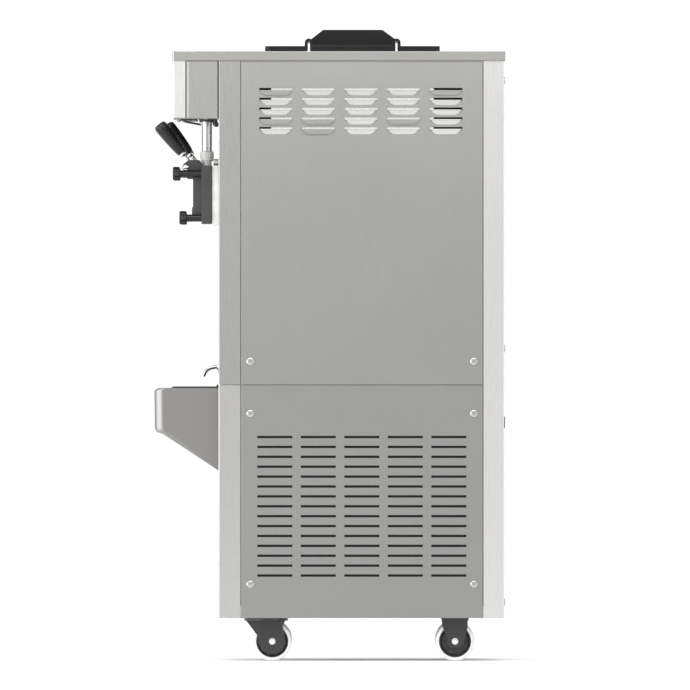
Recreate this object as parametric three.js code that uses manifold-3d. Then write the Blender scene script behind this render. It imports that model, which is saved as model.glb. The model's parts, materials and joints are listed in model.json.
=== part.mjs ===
// Floor-standing soft-serve ice cream maker: two hoppers, three levers, four casters.
// Millimetres, +Z up. The front faces -Y, the width runs along X, and the origin lies on the
// floor at the middle of the machine's footprint.
import * as THREE from "three";
import { mergeVertices } from "three/addons/utils/BufferGeometryUtils.js";
import Module from "manifold-3d";

const wasm = await Module();
wasm.setup();

// ---------- driving dimensions ----------
const SHEET = 1.5;
const GAP = 0.3;
const SEAM = 1.2;

const CABINET = { half: 265, front: -228, rear: 357.5, bottom: 88, split: 566, top: 1230.7 };
const WRAP = { front: -182.9, rear: 315.2 };
const CAP = { half: 270, front: -323, rear: 360, bottom: 1231, top: 1250 };
const HEAD = { front: -321, side: -295.7, bottom: 1112 };

const LOWER_SLOTS = {
  columns: 5,
  rows: 15,
  first: [-148.5, 172.7],
  pitch: [89.2, 20.28],
  size: [71.8, 5],
};
const UPPER_SLOTS = { columns: 5, rows: 5, first: [-144.4, 1089.7], pitch: [87.2, 20], size: [67.6, 5] };
const REAR_SLOTS = { columns: 3, rows: 8, first: [-180, 200], pitch: [125, 24], size: [110, 6] };

const HOPPER = { x: 118, y: 46.5, half: [88, 165], bottom: 1075, flange: [97.5, 177], corner: 20 };
const LID = { half: [100, 179.5], bottom: 1250.4, top: 1261.2, rib: 1276.8, tier: 1266, grip: 1295.2 };
const BARREL = { x: 100, z: 957, inner: 42, outer: 50, rear: 90, endWall: 10 };
const BEATER = { shaft: 8, bar: 34, disc: 39, discWidth: 10 };
const HOPPER_OUTLET = { y: -60, outer: 12, inner: 9 };
const PLATE = { half: 152, front: -242, bottom: 894, top: 1015 };
const DOOR = { half: 155, rear: -242.3, mid: -263.5, front: -281, bottom: 897, top: 1016.5 };
const SPOUTS = [100, 0, -100];
const EAR = { root: 990, shoulder: 1022, crown: 1028, radius: 16, back: -268, inner: 11, outer: 19 };
const PISTON = { y: -253, neck: 9.7, collar: 13.7, collarBottom: 1026.6, collarTop: 1046.1, rod: 10.2 };
const PIVOT = { y: -295, z: 1013, pin: 4, head: 5.5, eye: 9.5 };
const LEVER = { end: [-52.9, 84.8], neck: [-8.8, 29.4], stem: 4.5, halfWidth: 10, middleShift: 15 };
const KNOB = {
  x: 140,
  upperY: -322.6,
  upperZ: 999.7,
  lowerY: -309.1,
  lowerZ: 909,
  radius: 14.9,
  depth: 14.5,
};
const TRAY = { half: 220, front: -360, top: 559.7, noseBottom: 464, heel: 390 };
const PAN = { half: 205, front: -320, rear: -234, bottom: 520, rim: 6, lip: 1 };
const GRATE = { thickness: 1.2, bars: 20, barWidth: 6 };
const BUTTONS = { xs: [60, 0, -60], z: 1165, radius: 9, proud: 0.6, flange: 3, depth: 9 };

const GLAND = { x: 150, z: 489 };
const FAN = { z: 248, radius: 110 };

const CASTER = {
  x: 215,
  wheel: 40,
  tyreHalf: 14,
  axle: 4,
  legInner: 16.5,
  legOuter: 19,
  crown: 41.6,
  race: 45,
  plate: [38, 27.8],
};
const FRONT_CASTER = { swivelY: -130.7, axleY: -118 };
const REAR_CASTER = { axleY: 257 };

// ---------- finishes ----------
const finish = (color, roughness, metalness) =>
  new THREE.MeshStandardMaterial({ color, roughness, metalness });
const STEEL = finish(0xb9b8b5, 0.35, 1);
const POLISHED = finish(0xd6d6d4, 0.12, 1);
const ZINC = finish(0x9fa1a2, 0.45, 0.9);
const BLACK = finish(0x151515, 0.3, 0);
const SATIN_BLACK = finish(0x2a2a2b, 0.5, 0);
const WHITE = finish(0xe9e8e3, 0.4, 0);
const TYRE = finish(0xb5b6b7, 0.6, 0);
const COPPER_GREY = finish(0x6f7275, 0.5, 0.6);

// ---------- solids ----------
function toSolid(geometry) {
  const bare = geometry.index ? geometry.toNonIndexed() : geometry.clone();
  bare.deleteAttribute("normal");
  bare.deleteAttribute("uv");
  const merged = mergeVertices(bare, 1e-3);
  const position = merged.attributes.position;
  const corner = [new THREE.Vector3(), new THREE.Vector3(), new THREE.Vector3()];
  const faces = [];
  let volume = 0;
  for (let i = 0; i < merged.index.count; i += 3) {
    const face = [0, 1, 2].map((k) => merged.index.getX(i + k));
    if (new Set(face).size < 3) continue;
    face.forEach((vertex, k) => corner[k].fromBufferAttribute(position, vertex));
    volume += corner[0].dot(corner[1].cross(corner[2]));
    faces.push(face);
  }
  const outward = volume < 0 ? faces.map(([a, b, c]) => [a, c, b]) : faces;
  return new wasm.Manifold(
    new wasm.Mesh({
      numProp: 3,
      vertProperties: new Float32Array(position.array),
      triVerts: new Uint32Array(outward.flat()),
    }),
  );
}

function toGeometry(solid) {
  const mesh = solid.getMesh();
  const geometry = new THREE.BufferGeometry();
  geometry.setAttribute("position", new THREE.BufferAttribute(mesh.vertProperties, 3));
  geometry.setIndex(new THREE.BufferAttribute(mesh.triVerts, 1));
  geometry.computeVertexNormals();
  return geometry;
}

const join = (...solids) => solids.reduce((sum, solid) => sum.add(solid));
const cut = (solid, ...tools) => tools.reduce((rest, tool) => rest.subtract(tool), solid);

// A box from its low and high limits along each axis.
function block([x0, x1], [y0, y1], [z0, z1]) {
  const geometry = new THREE.BoxGeometry(x1 - x0, y1 - y0, z1 - z0);
  geometry.translate((x0 + x1) / 2, (y0 + y1) / 2, (z0 + z1) / 2);
  return toSolid(geometry);
}

// A cylinder along one axis; centre holds the other two coordinates in x, y, z order.
function rod(axis, radius, [from, to], centre, sides = 24) {
  const geometry = new THREE.CylinderGeometry(radius, radius, to - from, sides);
  const middle = (from + to) / 2;
  if (axis === "x") {
    geometry.rotateZ(Math.PI / 2);
    geometry.translate(middle, centre[0], centre[1]);
  } else if (axis === "y") {
    geometry.translate(centre[0], middle, centre[1]);
  } else {
    geometry.rotateX(Math.PI / 2);
    geometry.translate(centre[0], centre[1], middle);
  }
  return toSolid(geometry);
}

const shapeOf = (points) => new THREE.Shape(points.map(([u, v]) => new THREE.Vector2(u, v)));

// An outline in (y, z) carried along X.
function alongX(shape, [x0, x1], curveSegments = 4) {
  const settings = { depth: x1 - x0, bevelEnabled: false, curveSegments };
  const geometry = new THREE.ExtrudeGeometry(shape, settings);
  const turn = new THREE.Matrix4();
  turn.makeBasis(new THREE.Vector3(0, 1, 0), new THREE.Vector3(0, 0, 1), new THREE.Vector3(1, 0, 0));
  geometry.applyMatrix4(turn);
  geometry.translate(x0, 0, 0);
  return toSolid(geometry);
}

// An outline in (x, z) carried along Y.
function alongY(shape, [y0, y1], curveSegments = 4) {
  const settings = { depth: y1 - y0, bevelEnabled: false, curveSegments };
  const geometry = new THREE.ExtrudeGeometry(shape, settings);
  geometry.rotateX(Math.PI / 2);
  geometry.translate(0, y1, 0);
  return toSolid(geometry);
}

// An outline in (x, y) carried along Z.
function alongZ(shape, [z0, z1], curveSegments = 3) {
  const settings = { depth: z1 - z0, bevelEnabled: false, curveSegments };
  const geometry = new THREE.ExtrudeGeometry(shape, settings);
  geometry.translate(0, 0, z0);
  return toSolid(geometry);
}

// A profile of [radius, height] points turned about the Z axis.
function turned(profile, sides = 24) {
  const points = profile.map(([radius, height]) => new THREE.Vector2(radius, height));
  const geometry = new THREE.LatheGeometry(points, sides);
  geometry.rotateX(Math.PI / 2);
  return toSolid(geometry);
}

function swept(section, curve, steps) {
  const options = { steps, bevelEnabled: false, extrudePath: curve, curveSegments: 3 };
  return toSolid(new THREE.ExtrudeGeometry(section, options));
}

function roundedRectangle([cx, cy], [halfX, halfY], radius) {
  const shape = new THREE.Shape();
  shape.moveTo(cx - halfX + radius, cy - halfY);
  shape.lineTo(cx + halfX - radius, cy - halfY);
  shape.absarc(cx + halfX - radius, cy - halfY + radius, radius, -Math.PI / 2, 0);
  shape.lineTo(cx + halfX, cy + halfY - radius);
  shape.absarc(cx + halfX - radius, cy + halfY - radius, radius, 0, Math.PI / 2);
  shape.lineTo(cx - halfX + radius, cy + halfY);
  shape.absarc(cx - halfX + radius, cy + halfY - radius, radius, Math.PI / 2, Math.PI);
  shape.lineTo(cx - halfX, cy - halfY + radius);
  shape.absarc(cx - halfX + radius, cy - halfY + radius, radius, Math.PI, Math.PI * 1.5);
  return shape;
}

// One solid holding a grid of slots; slot(u, v, width, height) makes one of them.
function slotGrid({ columns, rows, first, pitch, size }, slot) {
  const slots = [];
  for (let column = 0; column < columns; column += 1) {
    for (let row = 0; row < rows; row += 1) {
      const u = first[0] + column * pitch[0];
      const v = first[1] + row * pitch[1];
      slots.push(slot([u, u + size[0]], [v, v + size[1]]));
    }
  }
  return join(...slots);
}

// ---------- the assembly ----------
const machine = new THREE.Group();
machine.name = "soft_serve_machine";

function part(name, solid, material, position = [0, 0, 0], parent = machine) {
  const mesh = new THREE.Mesh(toGeometry(solid), material);
  mesh.name = name;
  mesh.position.set(...position);
  parent.add(mesh);
  return mesh;
}

const sides = [["right", 1], ["left", -1]];

// ---------- cabinet ----------
function basePan() {
  const half = CABINET.half - SHEET - GAP;
  const front = CABINET.front + SHEET + GAP;
  const rear = CABINET.rear - SHEET - GAP;
  const wall = 2.5;
  const pan = block([-half, half], [front, rear], [CABINET.bottom, CABINET.bottom + 24]);
  const hollow = block(
    [-half + wall, half - wall],
    [front + wall, rear - wall],
    [CABINET.bottom + wall, CABINET.bottom + 25],
  );
  return cut(pan, hollow);
}

function cabinetFrame() {
  const half = CABINET.half - SHEET - 4;
  const tube = 25;
  const front = CABINET.front + SHEET + 4;
  const rear = CABINET.rear - SHEET - 4;
  const floor = CABINET.bottom + 2.8;
  const deck = CABINET.split;
  const posts = [];
  for (const x of [-half, half - tube]) {
    for (const y of [front, rear - tube]) {
      posts.push(block([x, x + tube], [y, y + tube], [floor, CABINET.top]));
    }
  }
  const deckPlate = block([-half, half], [front, rear], [deck, deck + 2]);
  const rails = [deck - tube, CABINET.top - tube].flatMap((z) => [
    block([-half, half], [front, front + tube], [z, z + tube]),
    block([-half, half], [rear - tube, rear], [z, z + tube]),
  ]);
  return join(...posts, deckPlate, ...rails);
}

function frontCover([z0, z1], openings) {
  const { half, front } = CABINET;
  const outer = block([-half, half], [front, WRAP.front], [z0, z1]);
  const inner = block([-half + SHEET, half - SHEET], [front + SHEET, WRAP.front + 1], [z0 - 1, z1 + 1]);
  return cut(outer, inner, ...openings);
}

function barrelOpenings() {
  return sides.map(([, side]) => {
    const centre = [side * BARREL.x, BARREL.z];
    return rod("y", BARREL.outer + 1, [CABINET.front - 1, CABINET.front + 3], centre, 24);
  });
}

function rearCover() {
  const { half, rear, bottom, top } = CABINET;
  const outer = block([-half, half], [WRAP.rear, rear], [bottom, top]);
  const innerX = [-half + SHEET, half - SHEET];
  const inner = block(innerX, [WRAP.rear - 1, rear - SHEET], [bottom - 1, top + 1]);
  const vents = slotGrid(REAR_SLOTS, (xs, zs) => block(xs, [rear - 3, rear + 1], zs));
  const glandHole = rod("y", 9.4, [rear - 3, rear + 1], [GLAND.x, GLAND.z], 16);
  return cut(outer, inner, vents, glandHole);
}

function sidePanel(zs, grid) {
  const xs = [CABINET.half - SHEET, CABINET.half];
  const sheet = block(xs, [WRAP.front + SEAM, WRAP.rear - SEAM], zs);
  return cut(sheet, slotGrid(grid, (slotYs, slotZs) => block([xs[0] - 1, xs[1] + 1], slotYs, slotZs)));
}

function cordGland() {
  const { rear } = CABINET;
  const flange = rod("y", 12, [rear + GAP, rear + 2.3], [GLAND.x, GLAND.z], 16);
  const barrel = rod("y", 9, [rear - 16, rear + 1], [GLAND.x, GLAND.z], 16);
  const bore = rod("y", 4.5, [rear - 20, rear + 5], [GLAND.x, GLAND.z], 12);
  return cut(join(flange, barrel), bore);
}

function topCap() {
  const { half, front, rear, bottom, top } = CAP;
  const plan = roundedRectangle([0, (front + rear) / 2], [half, (rear - front) / 2], 4);
  const shell = alongZ(plan, [bottom, top], 3);
  const innerX = [-half + SHEET, half - SHEET];
  const hollow = block(innerX, [front + SHEET, rear - SHEET], [bottom - 1, top - SHEET]);
  const mouths = sides.map(([, side]) => {
    const openingHalf = HOPPER.half.map((v) => v + 2);
    const outline = roundedRectangle([side * HOPPER.x, HOPPER.y], openingHalf, HOPPER.corner);
    return alongZ(outline, [top - 5, top + 1]);
  });
  return cut(shell, hollow, ...mouths);
}

part("base_pan", basePan(), ZINC);
part("cabinet_frame", cabinetFrame(), ZINC);
part("upper_front_cover", frontCover([CABINET.split + SEAM / 2, CABINET.top], barrelOpenings()), STEEL);
part("lower_front_cover", frontCover([CABINET.bottom, CABINET.split - SEAM / 2], []), STEEL);
part("rear_cover", rearCover(), STEEL);
part("cord_gland", cordGland(), BLACK);
part("top_cap", topCap(), STEEL);
for (const [label, side] of sides) {
  const shift = side > 0 ? 0 : SHEET - 2 * CABINET.half;
  const upper = sidePanel([CABINET.split + SEAM / 2, CABINET.top], UPPER_SLOTS);
  const lower = sidePanel([CABINET.bottom, CABINET.split - SEAM / 2], LOWER_SLOTS);
  part(`upper_side_panel_${label}`, upper, STEEL, [shift, 0, 0]);
  part(`lower_side_panel_${label}`, lower, STEEL, [shift, 0, 0]);
}

// ---------- head with its control panel ----------
function headHousing() {
  const { half, front, top } = CABINET;
  const rear = front - GAP;
  const floor = block([-half, half], [HEAD.front, rear], [HEAD.bottom, HEAD.bottom + SHEET]);
  const back = block([-half, half], [rear - SHEET, rear], [HEAD.bottom, top]);
  const walls = sides.map(([, side]) => {
    const xs = [side * half, side * (half - SHEET)].sort((a, b) => a - b);
    return block(xs, [HEAD.side + SEAM, rear], [HEAD.bottom, top]);
  });
  const rodHoles = SPOUTS.map((x) => {
    return rod("z", PISTON.rod + 1.6, [HEAD.bottom - 1, HEAD.bottom + 3], [x, PISTON.y], 18);
  });
  return cut(join(floor, back, ...walls), ...rodHoles);
}

function controlPanel() {
  const { half, top } = CABINET;
  const zs = [HEAD.bottom + SHEET + GAP, top];
  const outer = block([-half, half], [HEAD.front, HEAD.side], zs);
  const innerX = [-half + SHEET, half - SHEET];
  const inner = block(innerX, [HEAD.front + SHEET, HEAD.side + 1], [zs[0] - 1, zs[1] + 1]);
  const holes = BUTTONS.xs.map((x) => {
    return rod("y", BUTTONS.radius + 0.5, [HEAD.front - 1, HEAD.front + 3], [x, BUTTONS.z], 16);
  });
  return cut(outer, inner, ...holes);
}

function pushButton() {
  const { radius, proud, flange, depth } = BUTTONS;
  const cap = rod("y", radius, [-proud, depth], [0, 0], 16);
  const collar = rod("y", radius + flange, [depth - 4, depth], [0, 0], 16);
  return join(cap, collar);
}

part("head_housing", headHousing(), STEEL);
part("control_panel", controlPanel(), STEEL);
["start_button", "wash_button", "stop_button"].forEach((name, i) => {
  part(name, pushButton(), SATIN_BLACK, [BUTTONS.xs[i], HEAD.front, BUTTONS.z]);
});

// ---------- hoppers and lids ----------
function hopper() {
  const { half, bottom, flange, corner } = HOPPER;
  const rim = CAP.top + GAP;
  const outletX = BARREL.x - HOPPER.x;
  const outletY = HOPPER_OUTLET.y - HOPPER.y;
  const outer = alongZ(roundedRectangle([0, 0], half, corner), [bottom, rim + SHEET]);
  const lip = alongZ(roundedRectangle([0, 0], flange, 14), [rim, rim + SHEET]);
  const inside = roundedRectangle([0, 0], half.map((v) => v - SHEET), corner - SHEET);
  const hollow = alongZ(inside, [bottom + SHEET, rim + 3]);
  const spigotBottom = BARREL.z + BARREL.outer + 2 * GAP;
  const spigot = rod("z", HOPPER_OUTLET.outer, [spigotBottom, bottom + 1], [outletX, outletY], 16);
  const outlet = rod("z", HOPPER_OUTLET.inner, [spigotBottom - 1, bottom + 3], [outletX, outletY], 16);
  return cut(join(outer, lip, spigot), hollow, outlet);
}

function lid() {
  const { half, bottom, top, rib, tier, grip } = LID;
  const ribs = [-89.5, 90.7];
  const ribHalf = 8.2;
  const slotHalf = 2.4;
  const outline = roundedRectangle([0, 0], half, 12);
  const plate = alongZ(outline, [bottom, top]);
  const pocket = alongZ(roundedRectangle([0, 0], half.map((v) => v - 2), 10.5), [bottom - 1, top - 3]);
  const step = block([-half[0] + 6, half[0] - 6], [ribs[0], ribs[1]], [top - 2, tier]);
  const hump = new THREE.Shape();
  hump.moveTo(-ribHalf, top - 2);
  hump.lineTo(ribHalf, top - 2);
  hump.lineTo(ribHalf, rib - ribHalf);
  hump.absarc(0, rib - ribHalf, ribHalf, 0, Math.PI);
  const humps = ribs.map((y) => alongX(hump, [-half[0] + 3, half[0] - 3]).translate([0, y, 0]));
  const slots = ribs.map((y) => {
    return block([-half[0] - 1, half[0] + 1], [y - slotHalf, y + slotHalf], [bottom - 1, rib - 6]);
  });
  const handle = shapeOf([
    [ribs[0] + 4.6, tier - 1],
    [ribs[1] - 1.3, tier - 1],
    [ribs[1] - 2.4, rib - 1],
    [61.6, grip],
    [-60.3, grip],
    [ribs[0] + 4.6, rib - 1],
  ]);
  return cut(join(plate, step, ...humps, alongX(handle, [-22, 22])), pocket, ...slots);
}

for (const [label, side] of sides) {
  const place = [side * HOPPER.x, HOPPER.y, 0];
  const tub = side > 0 ? hopper() : hopper().mirror([1, 0, 0]);
  part(`hopper_${label}`, tub, STEEL, place);
  part(`hopper_lid_${label}`, lid(), BLACK, place);
}

// ---------- freezing cylinders, beaters and their motors ----------
function freezingCylinder() {
  const { inner, outer, rear, endWall } = BARREL;
  const front = CABINET.front + 0.2;
  const tube = rod("y", outer, [front, rear], [0, 0], 24);
  const bore = rod("y", inner, [front - 1, rear - endWall], [0, 0], 24);
  const shaftHole = rod("y", BEATER.shaft + 2, [rear - endWall - 1, rear + 1], [0, 0], 12);
  return cut(tube, bore, shaftHole);
}

function beater() {
  const { shaft: shaftRadius, bar, disc, discWidth } = BEATER;
  const front = CABINET.front + 6;
  const end = BARREL.rear - BARREL.endWall - 4;
  const turns = 0.75;
  const stations = 12;
  const shaft = rod("y", shaftRadius, [front, BARREL.rear + 14], [0, 0], 10);
  const bars = [0, Math.PI].map((start) => {
    const points = Array.from({ length: stations + 1 }, (_, i) => {
      const along = i / stations;
      const angle = start + along * turns * 2 * Math.PI;
      const y = THREE.MathUtils.lerp(front + 8, end - 8, along);
      return new THREE.Vector3(bar * Math.cos(angle), y, bar * Math.sin(angle));
    });
    return swept(shapeOf([[-4, -4], [4, -4], [4, 4], [-4, 4]]), new THREE.CatmullRomCurve3(points), 10);
  });
  const discStarts = [front + 3, end - 3 - discWidth];
  const discs = discStarts.map((y) => rod("y", disc, [y, y + discWidth], [0, 0], 16));
  return join(shaft, ...bars, ...discs);
}

function beaterMotor() {
  const start = BARREL.rear + 18;
  const gearbox = block([-52, 52], [start, start + 60], [-52, 52]);
  const motor = rod("y", 50, [start + 55, start + 190], [0, 0], 24);
  const legs = [-50, 46].map((x) => {
    return block([x, x + 4], [start + 5, start + 55], [CABINET.split + 2.4 - BARREL.z, -45]);
  });
  return join(gearbox, motor, ...legs);
}

for (const [label, side] of sides) {
  const place = [side * BARREL.x, 0, BARREL.z];
  part(`freezing_cylinder_${label}`, freezingCylinder(), STEEL, place);
  part(`beater_${label}`, beater(), POLISHED, place);
  part(`beater_motor_${label}`, beaterMotor(), COPPER_GREY, place);
}

// ---------- dispensing door ----------
function cylinderPlate() {
  const { half, front, bottom, top } = PLATE;
  const slab = block([-half, half], [front, CABINET.front - GAP], [bottom, top]);
  const bores = sides.map(([, side]) => {
    return rod("y", BARREL.inner, [front - 1, CABINET.front + 1], [side * BARREL.x, BARREL.z], 24);
  });
  return cut(slab, ...bores);
}

// A lug that carries the pivot pin: flat against the door, rounded over the pin.
function ear(xs) {
  const { root, shoulder, crown, radius, back } = EAR;
  const shape = new THREE.Shape();
  const frontY = PIVOT.y + 10;
  shape.moveTo(DOOR.front + 1, root);
  shape.lineTo(DOOR.mid - 0.5, root);
  shape.lineTo(DOOR.mid - 0.5, shoulder);
  shape.lineTo(back, crown);
  shape.lineTo(frontY, crown);
  shape.absarc(frontY, crown - radius, radius, Math.PI / 2, Math.PI);
  shape.lineTo(frontY - radius + 2, crown - radius - 8);
  shape.lineTo(frontY - radius + 8, root);
  return alongX(shape, xs);
}

function dispensingDoor() {
  const { half, rear, mid, front, bottom, top } = DOOR;
  const main = block([-half, half], [mid, rear], [bottom, top]);
  const raised = block([-130, 130], [front, mid + 1], [bottom + 5, 1000]);
  const { inner, outer } = EAR;
  const ears = SPOUTS.flatMap((x) => [ear([x + inner, x + outer]), ear([x - outer, x - inner])]);
  const boreSpan = [bottom - 1, top + 1];
  const pistonBores = SPOUTS.map((x) => rod("z", PISTON.neck + GAP, boreSpan, [x, PISTON.y], 18));
  const ports = SPOUTS.map((x) => rod("y", 6, [PISTON.y, rear + 1], [x, 930], 8));
  const pinBore = rod("x", PIVOT.pin + GAP, [-130, 130], [PIVOT.y, PIVOT.z], 12);
  return cut(join(main, raised, ...ears), ...pistonBores, ...ports, pinBore);
}

function pivotPin() {
  const reach = SPOUTS[0] + EAR.outer;
  const shank = rod("x", PIVOT.pin, [-reach - 1, reach + 1], [PIVOT.y, PIVOT.z], 12);
  const heads = sides.map(([, side]) => {
    const xs = [side * (reach + GAP), side * (reach + 3.5)].sort((a, b) => a - b);
    return rod("x", PIVOT.head, xs, [PIVOT.y, PIVOT.z], 16);
  });
  return join(shank, ...heads);
}

function doorKnob(reach) {
  const { radius, depth } = KNOB;
  const lobes = 7;
  const rim = Array.from({ length: lobes * 4 }, (_, i) => {
    const angle = (i / (lobes * 4)) * Math.PI * 2;
    const r = radius - 1.1 * (1 - Math.cos(lobes * angle));
    return [r * Math.cos(angle), r * Math.sin(angle)];
  });
  return join(alongY(shapeOf(rim), [0, depth]), rod("y", 7, [depth - 1, reach], [0, 0], 16));
}

function piston() {
  const { neck, collar, collarBottom, collarTop } = PISTON;
  const body = turned([
    [0, DOOR.bottom + 2],
    [neck, DOOR.bottom + 2],
    [neck, collarBottom],
    [collar, collarBottom],
    [collar, collarTop],
    [0, collarTop],
  ]);
  const tongueSlot = block([-4.5, 4.5], [-collar - 1, collar + 1], [PIVOT.z + 8.2, PIVOT.z + 21]);
  return cut(body, tongueSlot);
}

part("cylinder_plate", cylinderPlate(), WHITE);
part("dispensing_door", dispensingDoor(), SATIN_BLACK);
part("pivot_pin", pivotPin(), POLISHED);
for (const [label, side] of sides) {
  const upperReach = DOOR.mid - GAP - KNOB.upperY;
  const lowerReach = DOOR.mid - GAP - KNOB.lowerY;
  const upperPlace = [side * KNOB.x, KNOB.upperY, KNOB.upperZ];
  const lowerPlace = [side * KNOB.x, KNOB.lowerY, KNOB.lowerZ];
  part(`upper_door_knob_${label}`, doorKnob(upperReach), BLACK, upperPlace);
  part(`lower_door_knob_${label}`, doorKnob(lowerReach), BLACK, lowerPlace);
}

// ---------- levers and pistons ----------
// Each lever is drawn about its pivot: its stem leans forward and up, its tongue reaches back into
// the piston. A twist lever's stem stands a little further back so the hand can tell it apart.
function leverFrame(stemShift) {
  const [endY, endZ] = LEVER.end;
  const [neckY, neckZ] = LEVER.neck;
  return { origin: [neckY + stemShift, neckZ], angle: Math.atan2(endY - neckY, endZ - neckZ) };
}

function leanedFromZ(solid, { origin, angle }) {
  const degrees = THREE.MathUtils.radToDeg(-angle);
  return solid.rotate([degrees, 0, 0]).translate([0, origin[0], origin[1]]);
}

function lever(stemShift) {
  const frame = leverFrame(stemShift);
  const eye = rod("x", PIVOT.eye, [-LEVER.halfWidth, LEVER.halfWidth], [0, 0], 16);
  const hubOutline = shapeOf([[-5, -8], [24, -9], [27, -4], [28, 13.2], [22, 15], [-5, 8]]);
  const hub = alongX(hubOutline, [-LEVER.halfWidth, LEVER.halfWidth]);
  const tongue = block([-3.7, 3.7], [26, 51], [8.6, 13.2]);
  const stem = leanedFromZ(rod("z", LEVER.stem, [-26, 54], [0, 0], 12), frame);
  const ferrule = leanedFromZ(turned([[0, -8], [5, -8], [8, -4.5], [8.6, -GAP], [0, -GAP]], 16), frame);
  const pinBore = rod("x", PIVOT.pin + GAP, [-12, 12], [0, 0], 12);
  return cut(join(eye, hub, tongue, stem, ferrule), pinBore);
}

function grip(stemShift) {
  const bore = LEVER.stem + GAP;
  const profile = [
    [0, 56], [bore, 56], [bore, 0], [8.8, 0], [12.2, 36], [14, 62],
    [13.7, 69], [10, 75], [0, 76.5],
  ];
  return leanedFromZ(turned(profile, 16), leverFrame(stemShift));
}

["right", "middle", "left"].forEach((label, i) => {
  const shift = label === "middle" ? LEVER.middleShift : 0;
  const pivot = [SPOUTS[i], PIVOT.y, PIVOT.z];
  part(`lever_${label}`, lever(shift), POLISHED, pivot);
  part(`lever_grip_${label}`, grip(shift), BLACK, pivot);
  part(`piston_${label}`, piston(), WHITE, [SPOUTS[i], PISTON.y, 0]);
  const rodSpan = [PISTON.collarTop + GAP, HEAD.bottom + 10];
  const rodPlace = [SPOUTS[i], PISTON.y, 0];
  part(`piston_rod_${label}`, rod("z", PISTON.rod, rodSpan, [0, 0], 24), POLISHED, rodPlace);
});

// ---------- drip tray and drip tube ----------
function trayOutline(inset) {
  const { front, top, noseBottom, heel } = TRAY;
  const rear = CABINET.front - GAP - inset;
  const shape = new THREE.Shape();
  shape.moveTo(rear, top - inset);
  shape.lineTo(front + 8, top - inset);
  shape.absarc(front + 8, top - 8, 8 - inset, Math.PI / 2, Math.PI);
  shape.lineTo(front + 1 + inset, noseBottom + 13);
  shape.lineTo(front + 5 + inset, noseBottom + 5 + inset * 0.6);
  shape.lineTo(front + 18.7, noseBottom + inset * 1.2);
  shape.lineTo(rear, heel + inset * 1.2);
  return shape;
}

function dripTrayHousing() {
  const shell = alongX(trayOutline(0), [-TRAY.half, TRAY.half]);
  const hollow = alongX(trayOutline(SHEET), [-TRAY.half + SHEET, TRAY.half - SHEET]);
  const mouthX = [-PAN.half - 1, PAN.half + 1];
  const mouth = block(mouthX, [PAN.front - 1, PAN.rear + 1], [TRAY.top - 5, TRAY.top + 1]);
  return cut(shell, hollow, mouth);
}

function dripPan() {
  const { half, front, rear, bottom, rim, lip } = PAN;
  const lipBottom = TRAY.top + GAP;
  const lipTop = lipBottom + lip;
  const tub = block([-half, half], [front, rear], [bottom, lipTop]);
  const flange = block([-half - rim, half + rim], [front - 5, rear + 4], [lipBottom, lipTop]);
  const upstand = block([-half - rim, half + rim], [rear + 1.5, rear + 4], [lipBottom, lipBottom + 6]);
  const inside = [
    [-half + SHEET, half - SHEET],
    [front + SHEET, rear - SHEET],
    [bottom + SHEET, lipTop + 9],
  ];
  return cut(join(tub, flange, upstand), block(...inside));
}

function dripGrate() {
  const { half, front, rear, lip } = PAN;
  const { thickness, bars, barWidth } = GRATE;
  const bottom = TRAY.top + lip + 2 * GAP;
  const pitch = (2 * half - 10) / bars;
  const slotSize = [pitch - barWidth, rear - front - 12];
  const first = [8 - half, front + 6];
  const grid = { columns: bars, rows: 1, first, pitch: [pitch, 0], size: slotSize };
  const slots = slotGrid(grid, (xs, ys) => block(xs, ys, [bottom - 1, bottom + thickness + 1]));
  return cut(block([-half - 4, half + 4], [front - 3, rear + 1], [bottom, bottom + thickness]), slots);
}

function dripTube() {
  const z = 602.7;
  const start = CABINET.front - GAP;
  const points = [[start, z], [-236, z], [-246, z - 2.5], [-254, z - 9], [-258.8, z - 19]];
  const route = (from) => {
    const path = [[from, z], ...points.slice(1)].map(([y, height]) => new THREE.Vector3(0, y, height));
    return new THREE.CatmullRomCurve3(path);
  };
  const rosette = rod("y", 11, [start - 3, start], [0, z], 16);
  const section = new THREE.Shape().absarc(0, 0, 3.5, 0, Math.PI * 2);
  return join(swept(section, route(start), 8), rosette);
}

part("drip_tray_housing", dripTrayHousing(), STEEL);
part("drip_pan", dripPan(), SATIN_BLACK);
part("drip_grate", dripGrate(), SATIN_BLACK);
part("drip_tube", dripTube(), POLISHED);

// ---------- refrigeration ----------
function compressor() {
  const floor = CABINET.bottom + 2.8;
  const shell = turned([[0, floor + 14], [70, floor + 14], [85, floor + 40], [85, floor + 170],
    [60, floor + 205], [0, floor + 215]], 24);
  return join(shell, block([-90, 90], [-70, 70], [floor, floor + 18]));
}

function condenser() {
  const floor = CABINET.bottom + 2.8;
  const core = block([-150, 150], [-190, -145], [floor, floor + 300]);
  const arms = [-150, 146].map((x) => block([x, x + 4], [-146, -66], [FAN.z - 8, FAN.z + 8]));
  const strap = block([-150, 150], [-70, -66], [FAN.z - 8, FAN.z + 8]);
  const motor = rod("y", 34, [-102, -40], [0, FAN.z], 20);
  return join(core, ...arms, strap, motor);
}

function fan() {
  const hub = rod("y", 24, [-12, 12], [0, 0], 12);
  const blades = Array.from({ length: 5 }, (_, i) => {
    const blade = block([18, FAN.radius], [-1, 1], [-22, 22]).rotate([28, 0, 0]);
    return blade.rotate([0, (i * 360) / 5, 0]);
  });
  return join(hub, ...blades);
}

part("compressor", compressor(), BLACK, [0, 170, 0]);
part("condenser", condenser(), ZINC);
part("condenser_fan", fan(), ZINC, [0, -122, FAN.z]);

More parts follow.
